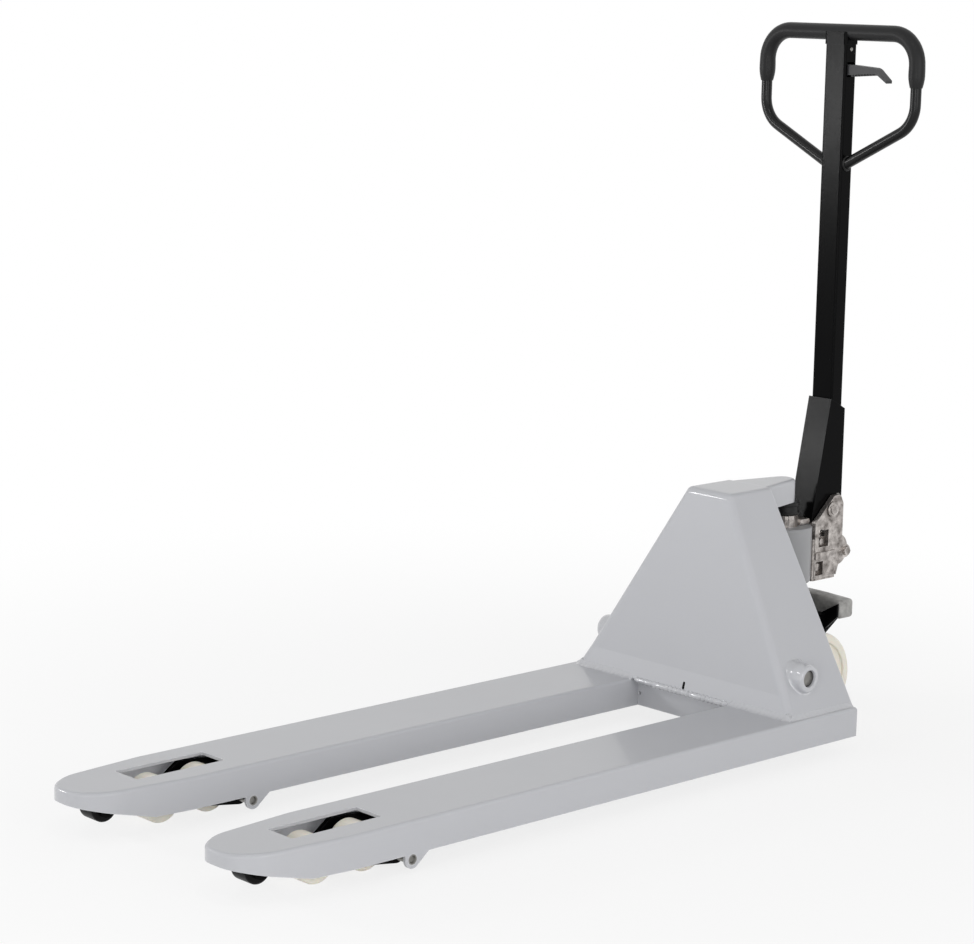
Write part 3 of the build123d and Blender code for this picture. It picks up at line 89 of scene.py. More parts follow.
class Finish(Enum):
    """Finishes of the truck, named by the record's material slots where they have one of their own."""

    FRAME_PAINT = "frame_paint"
    BLACK_PAINT = "black_paint"
    ZINC = "zinc"
    CAST_ALUMINIUM = "cast_aluminium"
    CHROME = "chrome"
    STEEL = "steel"
    NYLON = "nylon"
    RUBBER = "rubber"
    DARK_PLASTIC = "dark_plastic"
    LEVER_PLASTIC = "lever_plastic"
    PUMP_GREY = "pump_grey"
    LOOP_PAINT = "loop_paint"
    PAINTED_LIGHT_WALL = "painted_light_wall"
    WELD_PAINT = "weld_paint"

    @property
    def slot(self) -> str:
        """Find the record's material slot that the finish belongs to.

        Returns:
            The slot's name.
        """
        shared = {
            Finish.LEVER_PLASTIC: Finish.DARK_PLASTIC,
            Finish.PUMP_GREY: Finish.FRAME_PAINT,
            Finish.LOOP_PAINT: Finish.BLACK_PAINT,
            Finish.PAINTED_LIGHT_WALL: Finish.FRAME_PAINT,
            Finish.WELD_PAINT: Finish.FRAME_PAINT,
        }
        return shared.get(self, self).value


class Wiring:
    """Places nodes in a shader tree and feeds them with numbers, colours or other sockets."""

    def __init__(self, tree: bpy.types.NodeTree) -> None:
        """Take the tree that the nodes go in."""
        self.tree = tree

    def feed(self, socket: bpy.types.NodeSocket, value: Feed) -> None:
        """Link an input to another socket, or set its value.

        Args:
            socket: the input.
            value: what it is fed with.
        """
        if isinstance(value, bpy.types.NodeSocket):
            self.tree.links.new(value, socket)
        else:
            socket.default_value = (*value, 1.0) if socket.type == "RGBA" else value

    def node(self, kind: str, feeds: dict[str | int, Feed] | None = None, **settings: object) -> bpy.types.Node:
        """Place a node.

        Args:
            kind: the node's type.
            feeds: what its inputs are fed with, by name or number.
            settings: its other settings.

        Returns:
            The node.
        """
        node = self.tree.nodes.new(kind)
        for name, setting in settings.items():
            setattr(node, name, setting)
        for label, value in (feeds or {}).items():
            self.feed(node.inputs[label], value)
        return node

    def calc(self, operation: str, *values: Feed, clamp: bool = False) -> bpy.types.NodeSocket:
        """Return the result of a calculation, kept from 0 to 1 where it is clamped."""
        feeds = dict(enumerate(values))
        return self.node("ShaderNodeMath", feeds, operation=operation, use_clamp=clamp).outputs[0]

    def mix(self, factor: Feed, first: Feed, second: Feed) -> bpy.types.NodeSocket:
        """Return a mix of two colours, which a Mix node takes at inputs 6 and 7 and gives at output 2."""
        return self.node("ShaderNodeMix", {0: factor, 6: first, 7: second}, data_type="RGBA").outputs[2]

    def group(self, tree: bpy.types.NodeTree, feeds: dict[str, Feed]) -> bpy.types.NodeSocket:
        """Return the one output of a shared group that is placed here."""
        return self.node("ShaderNodeGroup", feeds, node_tree=tree).outputs[0]

    def place(self) -> bpy.types.NodeSocket:
        """Return the place on the piece, in the piece's own coordinates."""
        return self.node("ShaderNodeTexCoord").outputs["Object"]

    def seen_rays(self) -> bpy.types.NodeSocket:
        """Mark the rays that show the background: to the camera, mirrored or through glass.

        Returns:
            A socket that is 1 for those rays.
        """
        paths = self.node("ShaderNodeLightPath").outputs
        mirrored = self.calc("MAXIMUM", paths["Is Camera Ray"], paths["Is Glossy Ray"])
        return self.calc("MAXIMUM", mirrored, paths["Is Transmission Ray"])


class ShaderGroups:
    """Shader node groups that several finishes share, each built once."""

    patch_detail: float = 5.0
    patch_roughness: float = 0.62
    grain_detail: float = 2.0
    pit_share: float = 0.35
    wear_and_highlight_patches: dict[str, float] = {"Scale": 60.0, "Contrast": 2.5}

    def __init__(self) -> None:
        """Build the groups."""
        self.mottle = self._mottle()
        self.grain = self._grain()
        self.edge = self._edge()

    @staticmethod
    def _start(
        name: str, inputs: dict[str, float], output: str
    ) -> tuple[Wiring, bpy.types.NodeOutputs, bpy.types.NodeSocket]:
        """Start a group with float sockets.

        Args:
            name: the group's name.
            inputs: names of the inputs with their defaults.
            output: name of the one output.

        Returns:
            The group's wiring, the sockets that bring its inputs and the one that takes its output.
        """
        tree = bpy.data.node_groups.new(name, "ShaderNodeTree")
        for label, value in inputs.items():
            socket = tree.interface.new_socket(label, in_out="INPUT", socket_type="NodeSocketFloat")
            socket.default_value = value
        tree.interface.new_socket(output, in_out="OUTPUT", socket_type="NodeSocketFloat")
        given = tree.nodes.new("NodeGroupInput").outputs
        return Wiring(tree), given, tree.nodes.new("NodeGroupOutput").inputs[output]

    def _mottle(self) -> bpy.types.NodeTree:
        """Build the group for soft patches over the surface.

        Returns:
            The group, whose mask goes from 0 to 1.
        """
        wiring, given, mask = self._start("soft_patches", {"Scale": 8.0, "Contrast": 1.0}, "Mask")
        feeds = {"Vector": wiring.place(), "Scale": given["Scale"]}
        feeds |= {"Detail": self.patch_detail, "Roughness": self.patch_roughness}
        noise = wiring.node("ShaderNodeTexNoise", feeds)
        centred = wiring.calc("SUBTRACT", noise.outputs["Fac"], 0.5)
        wiring.feed(mask, wiring.calc("MULTIPLY_ADD", centred, given["Contrast"], 0.5, clamp=True))
        return wiring.tree

    def _grain(self) -> bpy.types.NodeTree:
        """Build the group for a fine grain with sparse pits.

        Returns:
            The group, which gives the grain's height.
        """
        wiring, given, height = self._start("fine_grain", {"Scale": 900.0, "Pits": 0.0}, "Height")
        place = wiring.place()
        feeds = {"Vector": place, "Scale": given["Scale"], "Detail": self.grain_detail}
        noise = wiring.node("ShaderNodeTexNoise", feeds)
        coarse = wiring.calc("MULTIPLY", given["Scale"], self.pit_share)
        cells = wiring.node("ShaderNodeTexVoronoi", {"Vector": place, "Scale": coarse}, feature="SMOOTH_F1")
        pits = wiring.calc("MULTIPLY", cells.outputs["Distance"], given["Pits"])
        wiring.feed(height, wiring.calc("ADD", noise.outputs["Fac"], pits))
        return wiring.tree

    def _edge(self) -> bpy.types.NodeTree:
        """Build the group for outer edges that are lightened, partly as wear and partly as painted highlight,
        broken up by patches.

        Returns:
            The group, whose mask goes from 0 to 1.
        """
        wiring, given, mask = self._start("worn_and_highlit_edges", {"Radius": 0.002, "Gain": 3.0}, "Mask")
        rounded = wiring.node("ShaderNodeBevel", {"Radius": given["Radius"]}, samples=4)
        surface = wiring.node("ShaderNodeNewGeometry")
        normals = {0: rounded.outputs["Normal"], 1: surface.outputs["Normal"]}
        match = wiring.node("ShaderNodeVectorMath", normals, operation="DOT_PRODUCT")
        turn = wiring.calc("SUBTRACT", 1.0, match.outputs["Value"])
        gain = wiring.calc("MULTIPLY", turn, given["Gain"])
        patches = wiring.group(self.mottle, self.wear_and_highlight_patches)
        wiring.feed(mask, wiring.calc("MULTIPLY", gain, patches, clamp=True))
        return wiring.tree


@dataclass(frozen=True)
class FinishRecipe:
    """One procedural finish: two patchy colours, edges lightened as wear and as painted highlight, uneven gloss
    and a fine grain.
    """

    colour: Colour
    patch_colour: Colour
    edge_wear_and_highlight_colour: Colour
    metallic: float = 0.0
    gloss: tuple[float, float] = (0.3, 0.4)
    patch_scale: float = 9.0
    patch_contrast: float = 1.0
    grain_scale: float = 900.0
    grain_height: float = 0.00005
    grain_strength: float = 0.3
    pits: float = 0.0
    edge_radius: float = 0.002
    edge_gain: float = 2.0
    coat: float = 0.0
    coat_roughness: float = 0.1
    specular: float = 0.5
    subsurface: float = 0.0
    subsurface_scale: float = 0.004

    def build(self, name: str, groups: ShaderGroups) -> bpy.types.Material:
        """Make the material.

        Args:
            name: the material's name.
            groups: the shared shader groups.

        Returns:
            The finished material.
        """
        material = bpy.data.materials.new(name)
        material.use_nodes = True
        wiring = Wiring(material.node_tree)
        patches = wiring.group(groups.mottle, {"Scale": self.patch_scale, "Contrast": self.patch_contrast})
        # Edge mask: outer edges take the edge colour, partly as wear and partly as a painted highlight along
        # them.
        edges = wiring.group(groups.edge, {"Radius": self.edge_radius, "Gain": self.edge_gain})
        grain = wiring.group(groups.grain, {"Scale": self.grain_scale, "Pits": self.pits})
        tone = wiring.mix(patches, self.colour, self.patch_colour)
        dull, rough = self.gloss
        gloss = wiring.node("ShaderNodeMapRange", {"Value": patches, "To Min": dull, "To Max": rough})
        relief = {"Height": grain, "Strength": self.grain_strength, "Distance": self.grain_height}
        surface = {
            "Base Color": wiring.mix(edges, tone, self.edge_wear_and_highlight_colour),
            "Roughness": gloss.outputs["Result"],
            "Normal": wiring.node("ShaderNodeBump", relief).outputs["Normal"],
            "Metallic": self.metallic,
            "Coat Weight": self.coat,
            "Coat Roughness": self.coat_roughness,
            "Specular IOR Level": self.specular,
            "Subsurface Weight": self.subsurface,
            "Subsurface Scale": self.subsurface_scale,
        }
        shader = material.node_tree.nodes["Principled BSDF"]
        for label, value in surface.items():
            wiring.feed(shader.inputs[label], value)
        return material


# Each recipe's third colour lightens outer edges, partly as wear and partly as painted highlight. On the frame
# and weld paint it is mostly a painted highlight.
RECIPES: dict[Finish, FinishRecipe] = {
    Finish.FRAME_PAINT: FinishRecipe(
        linear(187, 188, 192), linear(184, 185, 189), linear(238, 239, 241),
        patch_scale=5.0, grain_scale=650.0, grain_height=0.00012, grain_strength=0.14,
        edge_radius=0.003, edge_gain=2.2, coat=0.5, specular=0.2,
    ),
    Finish.WELD_PAINT: FinishRecipe(
        linear(187, 188, 192), linear(184, 185, 189), linear(204, 205, 208),
        gloss=(0.14, 0.22), patch_scale=40.0, grain_scale=300.0, grain_height=0.0004,
        coat=1.0, coat_roughness=0.05, specular=0.4,
    ),
    # A darker grey than the frame's, on the pump's reservoir.
    Finish.PUMP_GREY: FinishRecipe(
        linear(156, 157, 159), linear(148, 148, 150), linear(184, 185, 187),
        gloss=(0.32, 0.44), grain_scale=650.0, grain_height=0.00012, grain_strength=0.16,
    ),
    Finish.BLACK_PAINT: FinishRecipe(
        linear(6, 6, 6), linear(9, 9, 10), linear(44, 44, 46),
        gloss=(0.16, 0.26), patch_scale=7.0, grain_height=0.00012, edge_gain=1.4, specular=0.04,
    ),
    Finish.LOOP_PAINT: FinishRecipe(
        linear(6, 6, 6), linear(9, 9, 10), linear(30, 30, 32),
        gloss=(0.25, 0.31), patch_scale=7.0, grain_height=0.00012, grain_strength=0.05, specular=0.25,
    ),
    # Pale colour for the forks' inner walls: painted light, standing in for light that falls through the
    # windows.
    Finish.PAINTED_LIGHT_WALL: FinishRecipe(
        linear(240, 241, 246), linear(230, 231, 237), linear(244, 245, 248),
        gloss=(0.5, 0.66), patch_scale=30.0, patch_contrast=1.4, grain_scale=650.0, grain_height=0.0001,
    ),
    Finish.ZINC: FinishRecipe(
        linear(204, 198, 194), linear(98, 92, 88), linear(238, 235, 232),
        metallic=0.85, gloss=(0.2, 0.44), patch_scale=75.0, patch_contrast=2.8, grain_scale=420.0,
        grain_height=0.0003, grain_strength=0.45, pits=0.5, edge_gain=2.6,
    ),
    Finish.CAST_ALUMINIUM: FinishRecipe(
        linear(172, 171, 168), linear(132, 131, 129), linear(214, 214, 212),
        metallic=0.25, gloss=(0.36, 0.56), patch_scale=80.0, patch_contrast=2.4, grain_scale=330.0,
        grain_height=0.0005, grain_strength=0.5, pits=0.8, edge_gain=2.4,
    ),
    Finish.CHROME: FinishRecipe(
        linear(196, 197, 200), linear(180, 181, 184), linear(220, 220, 222),
        metallic=1.0, gloss=(0.06, 0.12), patch_scale=14.0, grain_strength=0.05,
    ),
    Finish.STEEL: FinishRecipe(
        linear(150, 149, 146), linear(112, 110, 106), linear(190, 189, 186),
        metallic=0.9, gloss=(0.3, 0.46), patch_scale=60.0, patch_contrast=1.5, grain_scale=800.0,
        grain_height=0.0001,
    ),
    Finish.NYLON: FinishRecipe(
        linear(244, 240, 228), linear(237, 232, 217), linear(248, 245, 236),
        gloss=(0.34, 0.5), patch_scale=24.0, patch_contrast=1.3, grain_scale=700.0, grain_height=0.0001,
        grain_strength=0.25, subsurface=0.1,
    ),
    Finish.RUBBER: FinishRecipe(
        linear(17, 17, 18), linear(24, 24, 25), linear(40, 40, 41),
        gloss=(0.36, 0.46), patch_scale=22.0, grain_scale=1500.0, grain_height=0.0002, grain_strength=0.5,
        specular=0.25,
    ),
    Finish.DARK_PLASTIC: FinishRecipe(
        linear(8, 8, 9), linear(13, 13, 14), linear(32, 32, 34),
        gloss=(0.28, 0.42), patch_scale=18.0, grain_scale=1300.0, grain_height=0.00015, grain_strength=0.4,
        specular=0.1,
    ),
    Finish.LEVER_PLASTIC: FinishRecipe(
        linear(34, 34, 36), linear(50, 50, 52), linear(84, 84, 86),
        gloss=(0.4, 0.56), patch_scale=40.0, patch_contrast=1.6, grain_scale=1000.0, grain_height=0.0002,
        grain_strength=0.5,
    ),
}


def picked(items: Sequence, kind: type) -> list:
    """Pick the verts, edges or faces out of an operator's result."""
    return [item for item in items if isinstance(item, kind)]


def ends_of(rim: Edges) -> Verts:
    """List the verts of some edges, each once."""
    return list({vert for edge in rim for vert in edge.verts})


def grow(shape: Shape, rim: Edges, run: Vector) -> Edges:
    """Extend an open tube.

    Args:
        shape: the tube.
        rim: edges of its open end.
        run: how far to extend it.

    Returns:
        Edges of its new end.
    """
    grown = bmesh.ops.extrude_edge_only(shape, edges=rim)["geom"]
    moved = picked(grown, bmesh.types.BMVert)
    bmesh.ops.translate(shape, verts=moved, vec=run)
    ends = set(moved)
    return [edge for edge in picked(grown, bmesh.types.BMEdge) if ends.issuperset(edge.verts)]


def swell(shape: Shape, verts: Verts, factors: tuple[float, float, float], about: Vector) -> None:
    """Scale some verts of a shape about a point."""
    bmesh.ops.scale(shape, verts=verts, vec=factors, space=Matrix.Translation(-about))


def thicken(shape: Shape, faces: Sequence[bmesh.types.BMFace], thickness: Vector) -> Shape:
    """Turn an open outline into a closed form.

    Args:
        shape: the shape that holds the outline.
        faces: the outline's faces.
        thickness: from the outline to the other side.

    Returns:
        The shape, closed and with its faces outwards.
    """
    grown = bmesh.ops.extrude_face_region(shape, geom=faces)["geom"]
    bmesh.ops.translate(shape, verts=picked(grown, bmesh.types.BMVert), vec=thickness)
    bmesh.ops.holes_fill(shape, edges=shape.edges, sides=0)
    bmesh.ops.recalc_face_normals(shape, faces=shape.faces)
    return shape


def turned(shape: Shape, origin: Vector, axis: Vector, steps: int) -> Shape:
    """Turn all of a shape once round an axis.

    Args:
        shape: an outline of verts and edges.
        origin: a point on the axis.
        axis: the axis, of length one.
        steps: sides of the turned form.

    Returns:
        The shape, closed and with its faces outwards.
    """
    outline = shape.verts[:] + shape.edges[:]
    bmesh.ops.spin(shape, geom=outline, cent=origin, axis=axis, angle=FULL_TURN, steps=steps, use_merge=True)
    bmesh.ops.remove_doubles(shape, verts=shape.verts, dist=SAME_PLACE)
    bmesh.ops.recalc_face_normals(shape, faces=shape.faces)
    return shape


def lathe(profile: Profile, origin: Vector, axis: Vector, steps: int = 48) -> Shape:
    """Turn a profile round an axis.

    Args:
        profile: points as (radius, height along the axis).
        origin: the point where height is zero.
        axis: the axis, of length one.
        steps: sides of the turned form.

    Returns:
        A closed mesh with its faces outwards.
    """
    shape = bmesh.new()
    across = axis.orthogonal().normalized()
    points = [shape.verts.new(origin + across * radius + axis * height) for radius, height in profile]
    for pair in zip(points, points[1:]):
        shape.edges.new(pair)
    return turned(shape, origin, axis, steps)


def ring(
    origin: Vector, axis: Vector, radius: float, thickness: float, steps: int = 48, sides: int = 12
) -> Shape:
    """Turn a round bar into a ring.

    Args:
        origin: the ring's middle.
        axis: the ring's axis, of length one.
        radius: from the axis to the middle of the bar.
        thickness: the bar's radius.
        steps: sides of the ring.
        sides: sides of the bar.

    Returns:
        A closed mesh with its faces outwards.
    """
    across = axis.orthogonal().normalized()
    facing = axis.cross(across).to_track_quat("Z", "Y").to_matrix().to_4x4()
    shape = bmesh.new()
    place = Matrix.Translation(origin + across * radius) @ facing
    bmesh.ops.create_circle(shape, cap_ends=False, segments=sides, radius=thickness, matrix=place)
    return turned(shape, origin, axis, steps)


# Sizes along a weld bead, as shares of its radius
BEAD_TIP = 0.45
BEAD_SHOULDER = 0.8
BEAD_CRESTS = (0.85, 1.1)
BEAD_TROUGHS = (0.6, 0.8)


def bead(start: Vector, end: Vector, radius: float, pitch: float, sides: int = 10) -> Shape:
    """Make a lumpy weld bead along a straight run.

    Args:
        start: middle of the bead's first end.
        end: middle of its last end.
        radius: the bead's radius.
        pitch: distance between ripples.
        sides: sides of its section.

    Returns:
        A closed mesh.
    """
    run = end - start
    count = max(2, round(run.length / pitch))
    shape = bmesh.new()
    place = Matrix.Translation(start) @ run.normalized().to_track_quat("Z", "Y").to_matrix().to_4x4()
    bmesh.ops.create_circle(shape, cap_ends=True, segments=sides, radius=radius * BEAD_TIP, matrix=place)
    bmesh.ops.reverse_faces(shape, faces=shape.faces)
    rim = shape.edges[:]
    chance = random.Random(count)
    sizes = [BEAD_SHOULDER]
    for _ in range(count):
        sizes += [chance.uniform(*BEAD_CRESTS), chance.uniform(*BEAD_TROUGHS)]
    sizes += [BEAD_TIP]
    step = run / (len(sizes) + 1)
    size_now = BEAD_TIP
    for number, size in enumerate(sizes, start=1):
        rim = grow(shape, rim, step)
        swell(shape, ends_of(rim), (size / size_now,) * 3, start + step * number)
        size_now = size
    bmesh.ops.contextual_create(shape, geom=rim)
    bmesh.ops.recalc_face_normals(shape, faces=shape.faces)
    return shape


@dataclass(frozen=True)
class CornerWeld:
    """A hollow, rippled weld in the corner between two faces.

    The legs run from the corner to the weld's edges on the two faces. Fullness is 0 for a hollow weld, 0.5 for
    a flat one and more for a crowned one.
    """

    start: Vector
    end: Vector
    first_leg: Vector
    second_leg: Vector
    fullness: float
    pitch: float = 0.010
    taper: float = 0.3
    overlap: float = 0.06
    root: float = 0.3
    steps: int = 6
    ripple: float = 0.2
    crown_ripple: float = 0.12
    ripple_range: tuple[float, float] = (0.4, 1.0)

    def section(self) -> list[Vector]:
        """Lay out the weld's section.

        Returns:
            Its corners, seen from the corner that the weld fills.
        """
        first = self.first_leg - self.second_leg * self.overlap
        second = self.second_leg - self.first_leg * self.overlap
        crown = (first + second) * self.fullness
        shares = [number / self.steps for number in range(self.steps + 1)]
        outline = [first * (1 - t) ** 2 + crown * 2 * t * (1 - t) + second * t**2 for t in shares]
        return outline + [second - first * self.root, (first + second) * -self.root, first - second * self.root]

    def build(self) -> Shape:
        """Make the weld.

        Returns:
            A closed mesh with its faces outwards.
        """
        chance = random.Random(round(self.end.length * 10000))
        ripple = self.ripple + self.crown_ripple * self.fullness
        shape = bmesh.new()
        face = shape.faces.new([shape.verts.new(self.start + corner) for corner in self.section()])
        run = self.end - self.start
        count = 2 * max(2, round(run.length / self.pitch))
        size_now = self.taper
        swell(shape, face.verts, (self.taper,) * 3, self.start)
        for number in range(1, count + 1):
            size = 1.0 - ripple * (number % 2) * chance.uniform(*self.ripple_range)
            size *= self.taper + (1.0 - self.taper) * min(1.0, number / 2, (count - number) / 2)
            grown = bmesh.ops.extrude_face_region(shape, geom=[face])["geom"]
            face = picked(grown, bmesh.types.BMFace)[0]
            bmesh.ops.translate(shape, verts=face.verts, vec=run / count)
            swell(shape, face.verts, (size / size_now,) * 3, self.start + run / count * number)
            size_now = size
        bmesh.ops.holes_fill(shape, edges=shape.edges, sides=0)
        bmesh.ops.recalc_face_normals(shape, faces=shape.faces)
        return shape


def soften(shape: Shape, edges: Edges, width: float, segments: int = 2) -> None:
    """Round edges of a shape.

    Args:
        shape: the shape.
        edges: the edges to round.
        width: width of the rounding.
        segments: steps across the rounding.
    """
    bmesh.ops.bevel(
        shape, geom=edges, offset=width, offset_type="OFFSET", segments=segments, profile=0.5,
        affect="EDGES", clamp_overlap=True, material=-1,
    )


def block(low: Vector, high: Vector, rounding: float) -> Shape:
    """Make a block with rounded edges.

    Args:
        low: its lowest corner.
        high: its highest corner.
        rounding: width of the rounding.

    Returns:
        A closed mesh.
    """
    shape = bmesh.new()
    place = Matrix.Translation((low + high) / 2) @ Matrix.Diagonal((*(high - low), 1.0))
    bmesh.ops.create_cube(shape, size=1.0, matrix=place)
    soften(shape, shape.edges[:], rounding)
    return shape


def plate(outline: Sequence[Vector], thickness: Vector, rounding: float = 0.0) -> Shape:
    """Make a plate from its outline.

    Args:
        outline: corners of one face, in order.
        thickness: from that face to the other.
        rounding: width of the rounding along its edges, if any.

    Returns:
        A closed mesh with its faces outwards.
    """
    shape = bmesh.new()
    face = shape.faces.new([shape.verts.new(corner) for corner in outline])
    thicken(shape, [face], thickness)
    if rounding:
        soften(shape, shape.edges[:], rounding)
    return shape


def hex_head(origin: Vector, axis: Vector, radius: float, height: float, rounding: float = 0.09) -> Shape:
    """Make a hexagon bolt head.

    Args:
        origin: middle of its seat.
        axis: the bolt's axis, outwards, of length one.
        radius: from the axis to a corner.
        height: height of the head.
        rounding: width of the rounding along its edges, as a share of the radius.

    Returns:
        A closed mesh.
    """
    across = axis.orthogonal().normalized()
    turns = [Matrix.Rotation(number * FULL_TURN / 6, 3, axis) for number in range(6)]
    return plate([origin + turn @ across * radius for turn in turns], axis * height, radius * rounding)


class Workshop:
    """Holds the frame and the finishes, and turns shapes into pieces that ride on bodies."""

    merge_gap: float = 2e-5
    flat_bend: float = math.radians(0.06)
    skin_bend: float = 50.0

    def __init__(self) -> None:
        """Make the finishes and look up bodies and slots."""
        groups = ShaderGroups()
        record = frame["record"]
        self.materials = {finish: RECIPES[finish].build(finish.value, groups) for finish in Finish}
        self.bodies = {node: body for body, nodes in record["behaviour"]["bodies"].items() for node in nodes}
        self.finishes = {row["node"]: Finish(row["material_slot"]) for row in record["subparts"]}
        self.finishes["control_lever"] = Finish.LEVER_PLASTIC
        self.finishes["pump_reservoir"] = Finish.PUMP_GREY
        self.finishes["handle_loop"] = Finish.LOOP_PAINT
        self.finishes["lever_pin"] = Finish.BLACK_PAINT

    def dress(self, *nodes: str) -> None:
        """Give CAD nodes their finish.

        Args:
            nodes: names of the nodes.
        """
        for node in nodes:
            mesh = frame["nodes"][node].data
            mesh.materials.clear()
            mesh.materials.append(self.materials[self.finishes[node]])
            log.info("dressed %s as %s", node, self.finishes[node].value)

    def add(self, name: str, shape: Shape, finish: Finish, body: str, bend: float = 40.0) -> bpy.types.Object:
        """Turn a shape into a finished piece.

        Args:
            name: the piece's name.
            shape: its mesh, which is used up.
            finish: its finish.
            body: the body that it rides on.
            bend: faces that meet at less than this many degrees are shaded as one.

        Returns:
            The piece.
        """
        for face in shape.faces:
            face.smooth = True
        for edge in shape.edges:
            edge.smooth = edge.calc_face_angle(0.0) < math.radians(bend)
        mesh = bpy.data.meshes.new(name)
        shape.to_mesh(mesh)
        shape.free()
        mesh.materials.append(self.materials[finish])
        piece = bpy.data.objects.new(name, mesh)
        bpy.context.scene.collection.objects.link(piece)
        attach(piece, body)
        log.info("made %s, %d faces, on %s", name, len(mesh.polygons), body)
        return piece

    def copy(self, node: str) -> Shape:
        """Copy a CAD node's mesh, with its loose triangles merged into whole faces.

        Args:
            node: the node.

        Returns:
            The copy.
        """
        shape = bmesh.new()
        shape.from_mesh(frame["nodes"][node].data)
        bmesh.ops.remove_doubles(shape, verts=shape.verts, dist=self.merge_gap)
        bmesh.ops.dissolve_limit(
            shape, angle_limit=self.flat_bend, verts=shape.verts, edges=shape.edges,
            use_dissolve_boundaries=False,
        )
        return shape

    def skin(
        self, node: str, rounding: float, segments: int = 2, bend: float = 28.0, cross_rounding: float = 0.0
    ) -> bpy.types.Object:
        """Stand in for a CAD node with a copy whose sharp edges are rounded.

        Args:
            node: the node.
            rounding: width of the rounding.
            segments: steps across the rounding.
            bend: edges that turn by more than this many degrees are rounded.
            cross_rounding: width of a rounding that the long edges across the truck get first.

        Returns:
            The piece.
        """
        shape = self.copy(node)
        if cross_rounding:
            soften(shape, self.cross_edges(shape), cross_rounding, segments=4)
        least = math.radians(bend)
        sharp = [edge for edge in shape.edges if edge.is_manifold and edge.calc_face_angle(0.0) > least]
        soften(shape, sharp, rounding, segments)
        piece = self.add(f"{node}_skin", shape, self.finishes[node], self.bodies[node], self.skin_bend)
        weighted = piece.modifiers.new("weighted_normals", "WEIGHTED_NORMAL")
        weighted.keep_sharp = True
        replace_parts(piece, node)
        return piece

    @staticmethod
    def cross_edges(
        shape: Shape, least_length: float = 0.02, least_bend: float = 3.0, straightness: float = 0.999
    ) -> Edges:
        """Find the long edges that run straight across the truck.

        Args:
            shape: the shape.
            least_length: shorter edges are left out.
            least_bend: edges that turn by fewer degrees are left out.
            straightness: edges with less than this share of their length across are left out.

        Returns:
            The edges.
        """
        found = []
        for edge in shape.edges:
            run = edge.verts[1].co - edge.verts[0].co
            across = abs(run.y) > max(least_length, straightness * run.length)
            if across and edge.is_manifold and edge.calc_face_angle(0.0) > math.radians(least_bend):
                found.append(edge)
        return found

    def repaint(self, piece: bpy.types.Object, finish: Finish, faces: Faces) -> None:
        """Give another finish to some faces of a piece.

        Args:
            piece: the piece.
            finish: the finish.
            faces: the faces that get it.
        """
        piece.data.materials.append(self.materials[finish])
        last = len(piece.data.materials) - 1
        for face in faces:
            face.material_index = last


@dataclass
class ForkPair:
    """Forks with insides painted pale as painted light, the heel beam and the lug pins."""

    shop: Workshop
    rounding: float = 0.0012
    dish: Profile = ((0.0018, 0.0), (0.0016, -0.0035))
    pin_end_facing: float = 0.99
    bracket_run: float = 0.018
    bracket_inner: float = 0.0205
    bracket_outer: float = 0.0285
    wall_facing: float = 0.9
    wall_area: float = 0.001

    def build(self) -> None:
        """Make the pieces."""
        for side_name in SIDES:
            fork = self.shop.skin(f"{side_name}_fork", self.rounding)
            self.black_brackets(fork, side_name)
            self.paint_light_inside(fork, side_name)
        self.shop.skin("cross_member", self.rounding)
        self.shop.dress("entry_axles")
        self.lug_pins()

    def paint_light_inside(self, fork: bpy.types.Object, side_name: str) -> None:
        """Give a fork's inner walls a pale colour, painted light where they are seen through its window.

        Args:
            fork: the fork.
            side_name: the fork's side.
        """
        low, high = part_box(f"{side_name}_fork")
        middle = (low.y + high.y) / 2
        sides = [face for face in fork.data.polygons if abs(face.normal.y) > self.wall_facing]
        walls = [face for face in sides if face.area > self.wall_area]
        inner = [face for face in walls if face.normal.y * (face.center.y - middle) < 0]
        # The inner walls are painted pale as painted light.
        self.shop.repaint(fork, Finish.PAINTED_LIGHT_WALL, inner)

    def black_brackets(self, fork: bpy.types.Object, side_name: str) -> None:
        """Blacken the brackets beside an entry roller.

        Args:
            fork: the fork that has them.
            side_name: the fork's side.
        """
        low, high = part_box(f"{side_name}_entry_roller")
        middle = (low + high) / 2
        brackets = []
        for face in fork.data.polygons:
            off = face.center - middle
            beside = abs(off.x) < self.bracket_run and self.bracket_inner < abs(off.y) < self.bracket_outer
            if beside and 0.0 < face.center.z < high.z + self.bracket_inner:
                brackets.append(face)
        self.shop.repaint(fork, Finish.BLACK_PAINT, brackets)

    def lug_pins(self) -> None:
        """Replace the lug pins with ones whose ends are dished."""
        shape = self.shop.copy("frame_pins")
        ends = [face for face in shape.faces if abs(face.normal.y) > self.pin_end_facing]
        for thickness, depth in self.dish:
            bmesh.ops.inset_individual(shape, faces=ends, thickness=thickness, depth=depth)
        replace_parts(self.shop.add("lug_pins", shape, Finish.STEEL, "chassis"), "frame_pins")


